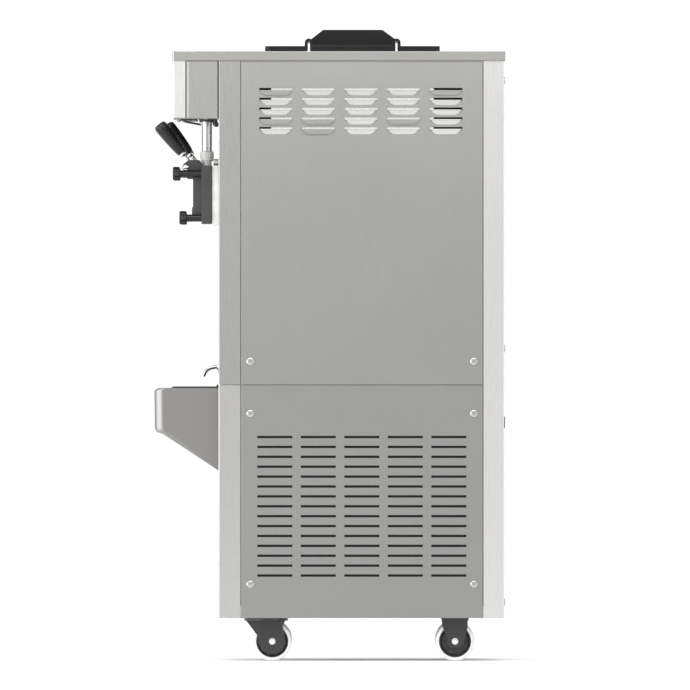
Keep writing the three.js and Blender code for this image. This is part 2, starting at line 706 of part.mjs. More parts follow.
// ---------- casters ----------
function casterWheel() {
  const { wheel, tyreHalf, axle } = CASTER;
  const tyre = turned([
    [axle + GAP, -tyreHalf], [wheel - 4, -tyreHalf], [wheel, -tyreHalf + 6],
    [wheel, tyreHalf - 6], [wheel - 4, tyreHalf], [axle + GAP, tyreHalf], [axle + GAP, -tyreHalf],
  ], 24);
  return tyre.rotate([0, 90, 0]);
}

// Cheek outlines in (y, z) about the axle: the swivel fork rakes forward to a wide ball race.
const SWIVEL_CHEEK = [
  [-53.5, 42.6], [-31, 13], [-29, -4], [-21, -19], [-8, -27], [8, -27], [21, -19], [28, -4],
  [25.5, 14], [21, 31], [27, 42.6],
];
const FIXED_CHEEK = [
  [-26, 42.6], [-25, 28], [-18, 10], [-17, -6], [-10, -13], [10, -13], [18, -6], [22, 14], [26, 30],
  [26, 42.6],
];

// Fork or bracket drawn about the axle; mountY is how far its mounting centre lies ahead of it.
function casterFork(mountY, swivel) {
  const { wheel, legInner, legOuter, axle, crown, race, plate } = CASTER;
  const plateTop = CABINET.bottom - GAP - wheel;
  const cheek = shapeOf(swivel ? SWIVEL_CHEEK : FIXED_CHEEK);
  const legs = [-legOuter, legInner].map((x) => alongX(cheek, [x, x + legOuter - legInner]));
  const bridge = block([-legOuter, legOuter], [mountY - 24, mountY + 24], [crown, crown + 2]);
  const bolt = rod("x", axle, [-legOuter - 1.5, legOuter + 1.5], [0, 0], 10);
  const top = swivel
    ? rod("z", race, [crown + 0.6, plateTop], [0, mountY], 24)
    : block([-plate[0], plate[0]], [mountY - plate[1], mountY + plate[1]], [crown + 1, plateTop]);
  return join(...legs, bridge, bolt, top);
}

for (const [label, side] of sides) {
  const frontAxle = [side * CASTER.x, FRONT_CASTER.axleY, CASTER.wheel];
  const rearAxle = [side * CASTER.x, REAR_CASTER.axleY, CASTER.wheel];
  const trail = FRONT_CASTER.swivelY - FRONT_CASTER.axleY;
  part(`front_caster_fork_${label}`, casterFork(trail, true), SATIN_BLACK, frontAxle);
  part(`front_caster_wheel_${label}`, casterWheel(), TYRE, frontAxle);
  part(`rear_caster_bracket_${label}`, casterFork(0, false), SATIN_BLACK, rearAxle);
  part(`rear_caster_wheel_${label}`, casterWheel(), TYRE, rearAxle);
}

export default machine;
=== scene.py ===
"""Builds the finished look of a floor-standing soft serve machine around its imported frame."""

import json
import math

import bmesh
import bpy
from mathutils import Matrix, Vector


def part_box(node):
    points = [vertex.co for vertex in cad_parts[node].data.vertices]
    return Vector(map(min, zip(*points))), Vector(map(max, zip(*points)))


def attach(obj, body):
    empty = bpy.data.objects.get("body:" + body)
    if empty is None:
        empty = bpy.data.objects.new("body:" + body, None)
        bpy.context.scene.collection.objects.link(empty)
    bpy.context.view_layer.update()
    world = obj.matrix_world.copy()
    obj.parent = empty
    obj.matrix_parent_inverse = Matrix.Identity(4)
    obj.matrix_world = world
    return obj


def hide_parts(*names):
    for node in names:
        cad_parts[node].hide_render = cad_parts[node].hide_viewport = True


bl_info = {
    "name": "Soft Serve Machine",
    "version": (1, 0, 0),
    "blender": (4, 5, 0),
    "location": "View3D > Sidebar > Soft Serve",
    "description": "Sheet metal, levers, door, lids, works and casters of a soft serve machine",
    "category": "Add Mesh",
}

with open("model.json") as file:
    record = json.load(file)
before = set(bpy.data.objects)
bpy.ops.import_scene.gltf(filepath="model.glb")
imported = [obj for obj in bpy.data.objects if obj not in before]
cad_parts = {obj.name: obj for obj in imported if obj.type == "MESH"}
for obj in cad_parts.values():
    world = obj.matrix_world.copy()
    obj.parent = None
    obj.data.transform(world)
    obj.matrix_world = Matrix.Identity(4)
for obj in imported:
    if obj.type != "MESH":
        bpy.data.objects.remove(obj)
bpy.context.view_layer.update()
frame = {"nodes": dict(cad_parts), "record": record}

MM = 0.001
SIDES = (("right", 1), ("left", -1))
SPOUTS = ("right", "middle", "left")
WORLD_AXES = {"X": Vector((1, 0, 0)), "Y": Vector((0, 1, 0)), "Z": Vector((0, 0, 1))}


# ---------- settings a user would change ----------
class SheetMetalSettings(bpy.types.PropertyGroup):
    panel_color: bpy.props.FloatVectorProperty(
        name="Panel colour",
        description="Colour of the satin stainless side panels",
        subtype="COLOR",
        default=(0.285, 0.283, 0.277),
    )
    cover_color: bpy.props.FloatVectorProperty(
        name="Cover colour",
        description="Colour of the brighter front and rear covers",
        subtype="COLOR",
        default=(0.365, 0.362, 0.355),
    )
    fold_radius: bpy.props.FloatProperty(
        name="Fold radius",
        description="Outside radius where a sheet is folded round a corner",
        default=2.0 * MM,
        unit="LENGTH",
    )
    edge_radius: bpy.props.FloatProperty(
        name="Edge radius",
        description="Radius left on a cut and deburred sheet edge",
        default=0.35 * MM,
        unit="LENGTH",
    )


class LouvreSettings(bpy.types.PropertyGroup):
    depth: bpy.props.FloatProperty(
        name="Louvre depth",
        description="How far a louvre's free lip is pressed in behind its panel",
        default=4.6 * MM,
        unit="LENGTH",
    )
    height: bpy.props.FloatProperty(
        name="Louvre height",
        description="Height of a louvre's flap below its slot",
        default=9.6 * MM,
        unit="LENGTH",
    )


class ScrewSettings(bpy.types.PropertyGroup):
    radius: bpy.props.FloatProperty(
        name="Screw head radius",
        description="Radius of the dome head screws on the panels",
        default=8.0 * MM,
        unit="LENGTH",
    )
    height: bpy.props.FloatProperty(
        name="Screw head height",
        description="Height of the dome above the panel",
        default=3.0 * MM,
        unit="LENGTH",
    )


class DispenserSettings(bpy.types.PropertyGroup):
    door_color: bpy.props.FloatVectorProperty(
        name="Door colour",
        description="Colour of the moulded dispensing door",
        subtype="COLOR",
        default=(0.035, 0.035, 0.036),
    )
    plastic_color: bpy.props.FloatVectorProperty(
        name="White plastic colour",
        description="Colour of the pistons and of the plate behind the door",
        subtype="COLOR",
        default=(0.640, 0.636, 0.620),
    )
    rib_count: bpy.props.IntProperty(
        name="Collar ribs",
        description="Number of grip ribs round a piston's collar",
        default=28,
        min=6,
    )


class GripSettings(bpy.types.PropertyGroup):
    color: bpy.props.FloatVectorProperty(
        name="Black plastic colour",
        description="Colour of the glossy lever grips, knobs and lids",
        subtype="COLOR",
        default=(0.012, 0.012, 0.0125),
    )


class CasterSettings(bpy.types.PropertyGroup):
    tyre_color: bpy.props.FloatVectorProperty(
        name="Tyre colour",
        description="Colour of the rubber tyres",
        subtype="COLOR",
        default=(0.76, 0.76, 0.76),
    )


# ---------- mesh building ----------
def new_piece(name, mesh, material):
    """A mesh object at the origin, with one material and its sharp edges marked by angle."""
    piece = bpy.data.objects.new(name, mesh)
    bpy.context.scene.collection.objects.link(piece)
    mesh.materials.clear()
    mesh.materials.append(material)
    mesh.polygons.foreach_set("material_index", [0] * len(mesh.polygons))
    mesh.shade_smooth()
    mesh.set_sharp_from_angle(angle=math.radians(32))
    weighted = piece.modifiers.new("Flat Faces", "WEIGHTED_NORMAL")
    weighted.keep_sharp = True
    weighted.weight = 100
    return piece


def mesh_from(bm, name):
    """Turns a bmesh into a welded mesh whose faces point outwards."""
    bmesh.ops.remove_doubles(bm, verts=bm.verts, dist=1e-6)
    bmesh.ops.recalc_face_normals(bm, faces=bm.faces)
    mesh = bpy.data.meshes.new(name)
    bm.to_mesh(mesh)
    bm.free()
    return mesh


def joined(name, meshes):
    """One mesh out of several closed ones."""
    bm = bmesh.new()
    for mesh in meshes:
        bm.from_mesh(mesh)
    whole = bpy.data.meshes.new(name)
    bm.to_mesh(whole)
    bm.free()
    for mesh in meshes:
        bpy.data.meshes.remove(mesh)
    return whole


def mm(*points):
    """Points given in millimetres, in metres."""
    return [tuple(v * MM for v in point) for point in points]


def mirrored(profile):
    """A profile followed by its own mirror image along the axis."""
    return profile + [(radius, -along) for radius, along in reversed(profile)]


def shade(color, share):
    """A colour made darker or lighter; it makes the painted shade and painted highlights of the lower and
    rear sheets.
    """
    return tuple(c * share for c in color)


def axis_turn(axis):
    """The turn that takes +Z to the named axis."""
    if axis == "X":
        return Matrix(((0, 0, 1), (1, 0, 0), (0, 1, 0))).to_4x4()
    if axis == "Y":
        return Matrix(((0, 1, 0), (0, 0, 1), (1, 0, 0))).to_4x4()
    return Matrix.Identity(4)


def tilt_to(direction):
    """The shortest turn that takes +Z to a direction."""
    return WORLD_AXES["Z"].rotation_difference(direction).to_matrix().to_4x4()


def lathe(name, profile, centre, axis="Z", sides=64):
    """A closed solid of revolution: profile holds (radius, distance along the axis) pairs."""
    bm = bmesh.new()
    rings = []
    for radius, along in profile:
        if radius < 1e-7:
            rings.append([bm.verts.new((0, 0, along))] * sides)
            continue
        ring = []
        for i in range(sides):
            angle = 2 * math.pi * i / sides
            ring.append(bm.verts.new((radius * math.cos(angle), radius * math.sin(angle), along)))
        rings.append(ring)
    closed = profile[0][0] > 1e-7 or profile[-1][0] > 1e-7
    pairs = list(zip(rings, rings[1:]))
    if closed:
        pairs.append((rings[-1], rings[0]))
    for low, high in pairs:
        for i in range(sides):
            j = (i + 1) % sides
            face = []
            for vertex in (low[i], low[j], high[j], high[i]):
                if vertex not in face:
                    face.append(vertex)
            if len(face) > 2:
                bm.faces.new(face)
    mesh = mesh_from(bm, name)
    mesh.transform(Matrix.Translation(centre) @ axis_turn(axis))
    return mesh


def prism(name, outline, span, axis="X", bevel=0.5 * MM, segments=2):
    """An outline carried along an axis, with all its edges rounded.

    The outline is in (y, z) for X, in (x, z) for Y and in (x, y) for Z.
    """
    bm = bmesh.new()
    low, high = span

    def point(u, v, w):
        return {"X": (w, u, v), "Y": (u, w, v), "Z": (u, v, w)}[axis]

    bottom = [bm.verts.new(point(u, v, low)) for u, v in outline]
    top = [bm.verts.new(point(u, v, high)) for u, v in outline]
    bm.faces.new(bottom)
    bm.faces.new(top)
    count = len(outline)
    for i in range(count):
        j = (i + 1) % count
        bm.faces.new((bottom[i], bottom[j], top[j], top[i]))
    bmesh.ops.recalc_face_normals(bm, faces=bm.faces)
    if bevel:
        sharp = [e for e in bm.edges if e.calc_face_angle(0) > math.radians(25)]
        bmesh.ops.bevel(
            bm, geom=sharp, offset=bevel, segments=segments, affect="EDGES", profile=0.5, clamp_overlap=True
        )
    return mesh_from(bm, name)


def box_mesh(name, low, high, bevel=0.5 * MM, segments=2):
    """A box with rounded edges between two corners."""
    outline = [(low[0], low[1]), (high[0], low[1]), (high[0], high[1]), (low[0], high[1])]
    return prism(name, outline, (low[2], high[2]), "Z", bevel, segments)


def arc(centre, radius, start, end, steps):
    """Points on an arc, angles in degrees."""
    points = []
    for i in range(steps + 1):
        angle = math.radians(start + (end - start) * i / steps)
        points.append((centre[0] + radius * math.cos(angle), centre[1] + radius * math.sin(angle)))
    return points


def rounded_outline(low, high, radius, steps=6):
    """A rectangle with round corners, anticlockwise."""
    (x0, y0), (x1, y1) = low, high
    return (
        arc((x1 - radius, y0 + radius), radius, -90, 0, steps)
        + arc((x1 - radius, y1 - radius), radius, 0, 90, steps)
        + arc((x0 + radius, y1 - radius), radius, 90, 180, steps)
        + arc((x0 + radius, y0 + radius), radius, 180, 270, steps)
    )


def tube_mesh(name, points, radius, sides=20, wall=None):
    """A round tube along a list of points; with a wall it is hollow right through."""
    path = [Vector(p) for p in points]
    bm = bmesh.new()
    radii = [radius] if wall is None else [radius, radius - wall]
    up = Vector((1, 0, 0))
    layers = []
    for r in radii:
        rings = []
        for i, p in enumerate(path):
            ahead = path[min(i + 1, len(path) - 1)] - path[max(i - 1, 0)]
            ahead.normalize()
            side = ahead.cross(up).normalized()
            other = side.cross(ahead).normalized()
            ring = []
            for k in range(sides):
                angle = 2 * math.pi * k / sides
                ring.append(bm.verts.new(p + side * (r * math.cos(angle)) + other * (r * math.sin(angle))))
            rings.append(ring)
        layers.append(rings)
        for a, b in zip(rings, rings[1:]):
            for k in range(sides):
                m = (k + 1) % sides
                bm.faces.new((a[k], a[m], b[m], b[k]))
    for end in (0, -1):
        if wall is None:
            bm.faces.new(layers[0][end])
            continue
        for k in range(sides):
            m = (k + 1) % sides
            outer, inner = layers[0][end], layers[1][end]
            bm.faces.new((outer[k], outer[m], inner[m], inner[k]))
    return mesh_from(bm, name)


def smooth_path(points, steps):
    """A Catmull-Rom curve through the points."""
    p = [Vector(q) for q in points]
    p = [p[0] * 2 - p[1]] + p + [p[-1] * 2 - p[-2]]
    curve = []
    for i in range(1, len(p) - 2):
        for s in range(steps):
            t = s / steps
            a, b, c, d = p[i - 1 : i + 3]
            square = 2 * a - 5 * b + 4 * c - d
            cube = 3 * b - a - 3 * c + d
            curve.append(0.5 * (2 * b + (c - a) * t + square * t * t + cube * t**3))
    curve.append(p[-2])
    return curve


def evaluated_mesh(piece, name):
    """The plain mesh that an object's modifiers make."""
    depsgraph = bpy.context.evaluated_depsgraph_get()
    mesh = bpy.data.meshes.new_from_object(piece.evaluated_get(depsgraph), depsgraph=depsgraph)
    mesh.name = name
    return mesh


def carved(name, mesh, cutters):
    """Takes closed cutter meshes out of a closed mesh."""
    body = bpy.data.objects.new(name, mesh)
    bpy.context.scene.collection.objects.link(body)
    helpers = []
    for cutter in cutters:
        helper = bpy.data.objects.new("cutter", cutter)
        bpy.context.scene.collection.objects.link(helper)
        modifier = body.modifiers.new("Carve", "BOOLEAN")
        modifier.operation = "DIFFERENCE"
        modifier.solver = "EXACT"
        modifier.object = helper
        helpers.append(helper)
    result = evaluated_mesh(body, name)
    for helper in helpers:
        bpy.data.objects.remove(helper)
    bpy.data.objects.remove(body)
    return result


def refined_mesh(node, bevel, segments=2, folds=()):
    """A welded copy of a CAD node with softened edges; each fold picks a sheet's corner edges."""
    bm = bmesh.new()
    bm.from_mesh(frame["nodes"][node].data)
    bmesh.ops.remove_doubles(bm, verts=bm.verts, dist=1e-5)
    bmesh.ops.dissolve_limit(bm, angle_limit=math.radians(0.5), verts=bm.verts, edges=bm.edges)
    for lies_on, radius in folds:
        edges = [e for e in bm.edges if lies_on(e)]
        bmesh.ops.bevel(
            bm, geom=edges, offset=radius, segments=5, affect="EDGES", profile=0.5, clamp_overlap=True
        )
    mesh = bpy.data.meshes.new(node)
    bm.to_mesh(mesh)
    bm.free()
    if not bevel:
        return mesh
    holder = bpy.data.objects.new(node + "_work", mesh)
    bpy.context.scene.collection.objects.link(holder)
    modifier = holder.modifiers.new("Edges", "BEVEL")
    modifier.width = bevel
    modifier.segments = segments
    modifier.limit_method = "ANGLE"
    modifier.angle_limit = math.radians(40)
    modifier.use_clamp_overlap = True
    result = evaluated_mesh(holder, node)
    bpy.data.objects.remove(holder)
    return result


def body_name(node):
    """The CAD body that a node belongs to."""
    for body, members in frame["record"]["behaviour"]["bodies"].items():
        if node in members:
            return body
    raise ValueError(f"no body holds {node}")


def settle(piece, body, slot, *nodes):
    """Makes a piece ride on a body and hides the CAD nodes it stands for; the slot is not used."""
    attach(piece, body)
    if nodes:
        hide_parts(*nodes)
    return piece


def placed(name, mesh, key, body, slot, *nodes):
    """Makes a piece of a mesh in a named finish and settles it on its body."""
    return settle(new_piece(name, mesh, finish(key)), body, slot, *nodes)


def refined_piece(node, key, slot, bevel=0.4 * MM, segments=2, folds=(), cutters=()):
    """A CAD node remade with soft edges, in its place and on its body."""
    mesh = refined_mesh(node, bevel, segments, folds)
    if cutters:
        mesh = carved(node, mesh, cutters)
    return placed(node + "_finished", mesh, key, body_name(node), slot, node)


# ---------- Geometry Nodes ----------
def link(tree, source, output, target, socket):
    """Joins a named output of one node to a named input of another."""
    tree.links.new(source.outputs[output], target.inputs[socket])


def start_tree(name, *sockets):
    """A geometry tree with a template, a material and more inputs, each given by name and kind."""
    tree = bpy.data.node_groups.new(name, "GeometryNodeTree")
    tree.interface.new_socket(name="Geometry", in_out="OUTPUT", socket_type="NodeSocketGeometry")
    for label, kind in (("Template", "Object"), ("Material", "Material"), *sockets):
        tree.interface.new_socket(name=label, in_out="INPUT", socket_type=f"NodeSocket{kind}")
    return tree, tree.nodes.new("NodeGroupInput"), tree.nodes.new("NodeGroupOutput")


def finish_tree(tree, inputs, outputs, geometry):
    """Ends a tree in Realize Instances and Set Material."""
    realize = tree.nodes.new("GeometryNodeRealizeInstances")
    material = tree.nodes.new("GeometryNodeSetMaterial")
    tree.links.new(geometry, realize.inputs["Geometry"])
    link(tree, realize, "Geometry", material, "Geometry")
    link(tree, inputs, "Material", material, "Material")
    link(tree, material, "Geometry", outputs, "Geometry")
    return tree


def template_node(tree, inputs):
    """Brings the template object's mesh into a tree as it stands."""
    info = tree.nodes.new("GeometryNodeObjectInfo")
    info.transform_space = "ORIGINAL"
    link(tree, inputs, "Template", info, "Object")
    return info.outputs["Geometry"]


def grid_tree():
    """Repeats a template in columns and rows."""
    counts = ("Columns", "Int"), ("Rows", "Int")
    steps = ("Start", "Vector"), ("Column Step", "Vector"), ("Row Step", "Vector")
    tree, inputs, outputs = start_tree("Grid of Pieces", *counts, *steps)
    columns = tree.nodes.new("GeometryNodeMeshLine")
    rows = tree.nodes.new("GeometryNodeMeshLine")
    for line, count, step in ((columns, "Columns", "Column Step"), (rows, "Rows", "Row Step")):
        line.mode = "OFFSET"
        link(tree, inputs, count, line, "Count")
        link(tree, inputs, step, line, "Offset")
    link(tree, inputs, "Start", columns, "Start Location")
    spread = tree.nodes.new("GeometryNodeInstanceOnPoints")
    points = tree.nodes.new("GeometryNodeRealizeInstances")
    place = tree.nodes.new("GeometryNodeInstanceOnPoints")
    link(tree, columns, "Mesh", spread, "Points")
    link(tree, rows, "Mesh", spread, "Instance")
    link(tree, spread, "Instances", points, "Geometry")
    link(tree, points, "Geometry", place, "Points")
    tree.links.new(template_node(tree, inputs), place.inputs["Instance"])
    return finish_tree(tree, inputs, outputs, place.outputs["Instances"])


def ring_tree():
    """Repeats a template round a circle; the circle's axis is turned by Turn and moved by Centre."""
    circle_size = ("Count", "Int"), ("Radius", "Float")
    circle_place = ("Turn", "Vector"), ("Centre", "Vector")
    tree, inputs, outputs = start_tree("Ring of Pieces", *circle_size, *circle_place)
    circle = tree.nodes.new("GeometryNodeMeshCircle")
    link(tree, inputs, "Count", circle, "Vertices")
    link(tree, inputs, "Radius", circle, "Radius")
    index = tree.nodes.new("GeometryNodeInputIndex")
    step = tree.nodes.new("ShaderNodeMath")
    step.operation = "DIVIDE"
    step.inputs[0].default_value = 2 * math.pi
    tree.links.new(inputs.outputs["Count"], step.inputs[1])
    angle = tree.nodes.new("ShaderNodeMath")
    angle.operation = "MULTIPLY"
    tree.links.new(index.outputs["Index"], angle.inputs[0])
    tree.links.new(step.outputs["Value"], angle.inputs[1])
    spin = tree.nodes.new("ShaderNodeCombineXYZ")
    link(tree, angle, "Value", spin, "Z")
    place = tree.nodes.new("GeometryNodeInstanceOnPoints")
    link(tree, circle, "Mesh", place, "Points")
    tree.links.new(template_node(tree, inputs), place.inputs["Instance"])
    link(tree, spin, "Vector", place, "Rotation")
    move = tree.nodes.new("GeometryNodeTransform")
    link(tree, place, "Instances", move, "Geometry")
    link(tree, inputs, "Turn", move, "Rotation")
    link(tree, inputs, "Centre", move, "Translation")
    return finish_tree(tree, inputs, outputs, move.outputs["Geometry"])


TREES = {}


def grown_mesh(kind, name, template, key, **values):
    """Runs a geometry tree on a template mesh and returns the plain mesh it makes."""
    if kind not in TREES:
        TREES[kind] = {"grid": grid_tree, "ring": ring_tree}[kind]()
    tree = TREES[kind]
    pattern = bpy.data.objects.new("template", template)
    host = bpy.data.objects.new("host", bpy.data.meshes.new("host"))
    for item in (pattern, host):
        bpy.context.scene.collection.objects.link(item)
    modifier = host.modifiers.new("Repeat", "NODES")
    modifier.node_group = tree
    inputs = {"Template": pattern, "Material": finish(key)}
    inputs.update({label.replace("_", " ").title(): value for label, value in values.items()})
    for item in tree.interface.items_tree:
        if item.item_type == "SOCKET" and item.in_out == "INPUT":
            modifier[item.identifier] = inputs[item.name]
    mesh = evaluated_mesh(host, name)
    for item in (host, pattern):
        bpy.data.objects.remove(item)
    if not mesh.polygons:
        raise ValueError(f"{name} came out empty")
    return mesh


def row_mesh(name, template, key, count, start, step):
    """A template repeated in one straight row."""
    spacing = {"start": start, "column_step": step, "row_step": (0, 0, 0)}
    return grown_mesh("grid", name, template, key, columns=count, rows=1, **spacing)


def ring_mesh(name, template, key, count, radius, turn, centre):
    """A template repeated round a circle."""
    size = {"count": count, "radius": radius}
    return grown_mesh("ring", name, template, key, **size, turn=turn, centre=centre)


# ---------- materials ----------
class Paint:
    """A node material under construction: a Principled shader read in Object coordinates."""

    def __init__(self, name, color, metallic, roughness):
        self.material = bpy.data.materials.new(name)
        self.material.use_nodes = True
        self.tree = self.material.node_tree
        self.shader = self.tree.nodes["Principled BSDF"]
        self.shader.inputs["Base Color"].default_value = (*color, 1)
        self.shader.inputs["Metallic"].default_value = metallic
        self.shader.inputs["Roughness"].default_value = roughness
        self.color = color
        self.coordinates = self.tree.nodes.new("ShaderNodeTexCoord")

    def noise(self, scale, stretch=(1, 1, 1), detail=4, roughness=0.55):
        mapping = self.tree.nodes.new("ShaderNodeMapping")
        mapping.inputs["Scale"].default_value = stretch
        texture = self.tree.nodes.new("ShaderNodeTexNoise")
        texture.inputs["Scale"].default_value = scale
        texture.inputs["Detail"].default_value = detail
        texture.inputs["Roughness"].default_value = roughness
        self.tree.links.new(self.coordinates.outputs["Object"], mapping.inputs["Vector"])
        link(self.tree, mapping, "Vector", texture, "Vector")
        return texture.outputs["Fac"]

    def spread(self, value, low, high):
        """Maps a pattern's middle range to low..high."""
        node = self.tree.nodes.new("ShaderNodeMapRange")
        node.inputs["From Min"].default_value = 0.3
        node.inputs["From Max"].default_value = 0.7
        node.inputs["To Min"].default_value = low
        node.inputs["To Max"].default_value = high
        self.tree.links.new(value, node.inputs["Value"])
        return node.outputs["Result"]

    def vary_color(self, value, dark, light):
        """The base colour runs between two shades of itself."""
        mix = self.tree.nodes.new("ShaderNodeMix")
        mix.data_type = "RGBA"
        mix.inputs["A"].default_value = (*[c * dark for c in self.color], 1)
        mix.inputs["B"].default_value = (*[min(c * light, 1) for c in self.color], 1)
        mix_factor = self.spread(value, 0, 1)
        self.tree.links.new(mix_factor, mix.inputs["Factor"])
        rgb = next(s for s in mix.outputs if s.type == "RGBA")
        self.tree.links.new(rgb, self.shader.inputs["Base Color"])

    def vary_roughness(self, value, low, high):
        self.tree.links.new(self.spread(value, low, high), self.shader.inputs["Roughness"])

    def bump(self, value, strength, distance):
        node = self.tree.nodes.new("ShaderNodeBump")
        node.inputs["Strength"].default_value = strength
        node.inputs["Distance"].default_value = distance
        self.tree.links.new(value, node.inputs["Height"])
        self.tree.links.new(node.outputs["Normal"], self.shader.inputs["Normal"])

    def set(self, **sockets):
        for name, value in sockets.items():
            self.shader.inputs[name.replace("_", " ")].default_value = value
        return self


def brushed_steel(name, color, grain=(90, 90, 1.2), roughness=(0.30, 0.40)):
    """Satin stainless sheet: fine straight grain, with soft clouding over the sheet."""
    paint = Paint(name, color, 1.0, sum(roughness) / 2)
    lines = paint.noise(14, grain, detail=5, roughness=0.7)
    clouds = paint.noise(3.2, detail=2)
    blend = paint.tree.nodes.new("ShaderNodeMath")
    blend.operation = "MULTIPLY_ADD"
    blend.inputs[1].default_value = 0.75
    paint.tree.links.new(lines, blend.inputs[0])
    soft = paint.spread(clouds, 0.05, 0.2)
    paint.tree.links.new(soft, blend.inputs[2])
    paint.vary_color(blend.outputs["Value"], 0.955, 1.045)
    paint.vary_roughness(lines, *roughness)
    paint.bump(lines, 0.05, 0.0002)
    return paint.material


def polished_steel(name, color):
    """Polished stainless or chrome with faint handling marks."""
    paint = Paint(name, color, 1.0, 0.1)
    marks = paint.noise(55, (1, 1, 0.25), detail=6)
    paint.vary_color(marks, 0.97, 1.02)
    paint.vary_roughness(marks, 0.07, 0.16)
    return paint.material


def zinc_plate(name, color):
    """Zinc plated steel with a faint mottle."""
    paint = Paint(name, color, 0.9, 0.45)
    mottle = paint.noise(60, detail=3)
    paint.vary_color(mottle, 0.85, 1.1)
    paint.vary_roughness(mottle, 0.35, 0.55)
    return paint.material


def moulded_plastic(name, color, roughness, texture=0.03, gloss=0.5):
    """Moulded plastic with a fine skin and slightly uneven gloss."""
    paint = Paint(name, color, 0.0, sum(roughness) / 2)
    skin = paint.noise(900, detail=2)
    sheen = paint.noise(35, detail=4)
    paint.vary_color(sheen, 0.86, 1.16)
    paint.vary_roughness(sheen, *roughness)
    paint.bump(skin, texture, 0.0002)
    paint.set(Specular_IOR_Level=gloss)
    return paint.material


def enamel(name, color, roughness=(0.25, 0.4)):
    """Sprayed enamel or powder coat with a little orange peel."""
    paint = Paint(name, color, 0.0, sum(roughness) / 2)
    peel = paint.noise(420, detail=2)
    dust = paint.noise(24, detail=5)
    paint.vary_color(dust, 0.85, 1.2)
    paint.vary_roughness(dust, *roughness)
    paint.bump(peel, 0.12, 0.0003)
    return paint.material


def rubber(name, color):
    """Dull rubber, slightly scuffed."""
    paint = Paint(name, color, 0.0, 0.62)
    scuffs = paint.noise(70, (1, 1, 1), detail=6, roughness=0.65)
    paint.vary_color(scuffs, 0.88, 1.08)
    paint.vary_roughness(scuffs, 0.5, 0.72)
    paint.bump(paint.noise(600, detail=3), 0.15, 0.0003)
    return paint.material


def bare_metal(name, color, roughness=(0.35, 0.5)):
    """Mill-finished aluminium or copper."""
    paint = Paint(name, color, 1.0, sum(roughness) / 2)
    grain = paint.noise(80, (1, 6, 1), detail=4)
    paint.vary_color(grain, 0.85, 1.08)
    paint.vary_roughness(grain, *roughness)
    return paint.material


FINISHES = {}


def finish(key):
    """One material for each finish, made the first time it is asked for."""
    if key not in FINISHES:
        scene = bpy.context.scene
        sheet = scene.softserve_sheet
        dispenser = scene.softserve_dispenser
        black = tuple(scene.softserve_grip.color)
        panel, cover = tuple(sheet.panel_color), tuple(sheet.cover_color)
        upright, across = (90, 90, 1.2), (1.2, 90, 90)
        satin, bright = (0.38, 0.5), (0.24, 0.36)
        door, food = tuple(dispenser.door_color), tuple(dispenser.plastic_color)
        table = {
            "panel_steel": (brushed_steel, "Satin Panel Steel", panel, upright, satin),
            # The lower side panels' steel is the panel colour darkened, a painted shade for the lower panel
            # catching less light
            "low_panel_steel_painted_shade": (brushed_steel, "Lower Panel Steel", shade(panel, 0.95), upright, satin),
            "cover_steel": (brushed_steel, "Bright Cover Steel", cover, upright, bright),
            # The lower front cover's steel is the cover colour lightened, a painted highlight for the light
            # that cover catches
            "low_cover_steel_painted_light": (brushed_steel, "Lower Cover Steel", shade(cover, 1.25), upright, bright),
            # The rear cover's steel is the cover colour lightened well beyond it, a painted highlight for
            # the light the rear fold catches
            "rear_steel_painted_light": (brushed_steel, "Rear Cover Steel", shade(cover, 1.65), upright, bright),
            "cap_steel": (brushed_steel, "Cap Steel", (0.325, 0.32, 0.308), across),
            "head_steel": (brushed_steel, "Bright Head Steel", (0.65, 0.652, 0.64), upright, bright),
            "tray_steel": (brushed_steel, "Tray Steel", (0.255, 0.251, 0.244), across),
            "dark_steel": (brushed_steel, "Head Side Steel", (0.335, 0.332, 0.322)),
            "polished": (polished_steel, "Polished Stainless", (0.78, 0.78, 0.77)),
            "screw": (polished_steel, "Screw Steel", (0.42, 0.42, 0.41)),
            "chrome": (polished_steel, "Chrome", (0.50, 0.50, 0.50)),
            "zinc": (zinc_plate, "Zinc Plate", (0.46, 0.47, 0.47)),
            "foil": (bare_metal, "Insulation Foil", (0.86, 0.86, 0.85), (0.12, 0.2)),
            "fins": (bare_metal, "Aluminium Fins", (0.55, 0.56, 0.57)),
            "copper": (bare_metal, "Copper Tube", (0.6, 0.28, 0.16), (0.25, 0.4)),
            "gloss_black": (moulded_plastic, "Gloss Black Plastic", black, (0.16, 0.28), 0.03, 0.3),
            "lid_black": (moulded_plastic, "Gloss Black Lid Plastic", black, (0.14, 0.24), 0.03, 0.14),
            "satin_black": (moulded_plastic, "Satin Black Plastic", door, (0.36, 0.5), 0.08),
            "white": (moulded_plastic, "White Food Plastic", food, (0.28, 0.42)),
            "hub": (moulded_plastic, "Black Wheel Hub", (0.012, 0.012, 0.013), (0.3, 0.45), 0.05),
            "window": (moulded_plastic, "Smoked Display Window", (0.01, 0.012, 0.014), (0.05, 0.1), 0.0),
            "foam": (enamel, "Black Filter Foam", (0.006, 0.006, 0.006), (0.8, 0.95)),
            "powder": (enamel, "Black Powder Coat", (0.018, 0.018, 0.019)),
            "compressor": (enamel, "Black Compressor Enamel", (0.02, 0.02, 0.021)),
            "motor": (enamel, "Grey Motor Enamel", (0.12, 0.13, 0.14)),
            "tyre": (rubber, "Grey Tyre Rubber", tuple(scene.softserve_caster.tyre_color)),
        }
        make, name, color, *options = table[key]
        FINISHES[key] = make(name, color, *options)
    return FINISHES[key]


# ---------- places read from the frame ----------
def corners(node):
    """Lowest and highest corner of a node's box, as two vectors."""
    low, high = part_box(node)
    return Vector(low), Vector(high)


HALF = corners("rear_cover")[1].x
FRONT = corners("upper_front_cover")[0].y
REAR = corners("rear_cover")[1].y
SHEET = 1.5 * MM
CABINET_TOP = corners("rear_cover")[1].z
CAP_LOW, CAP_HIGH = corners("top_cap")
HEAD_LOW, HEAD_HIGH = corners("head_housing")
PANEL_LOW, PANEL_HIGH = corners("control_panel")


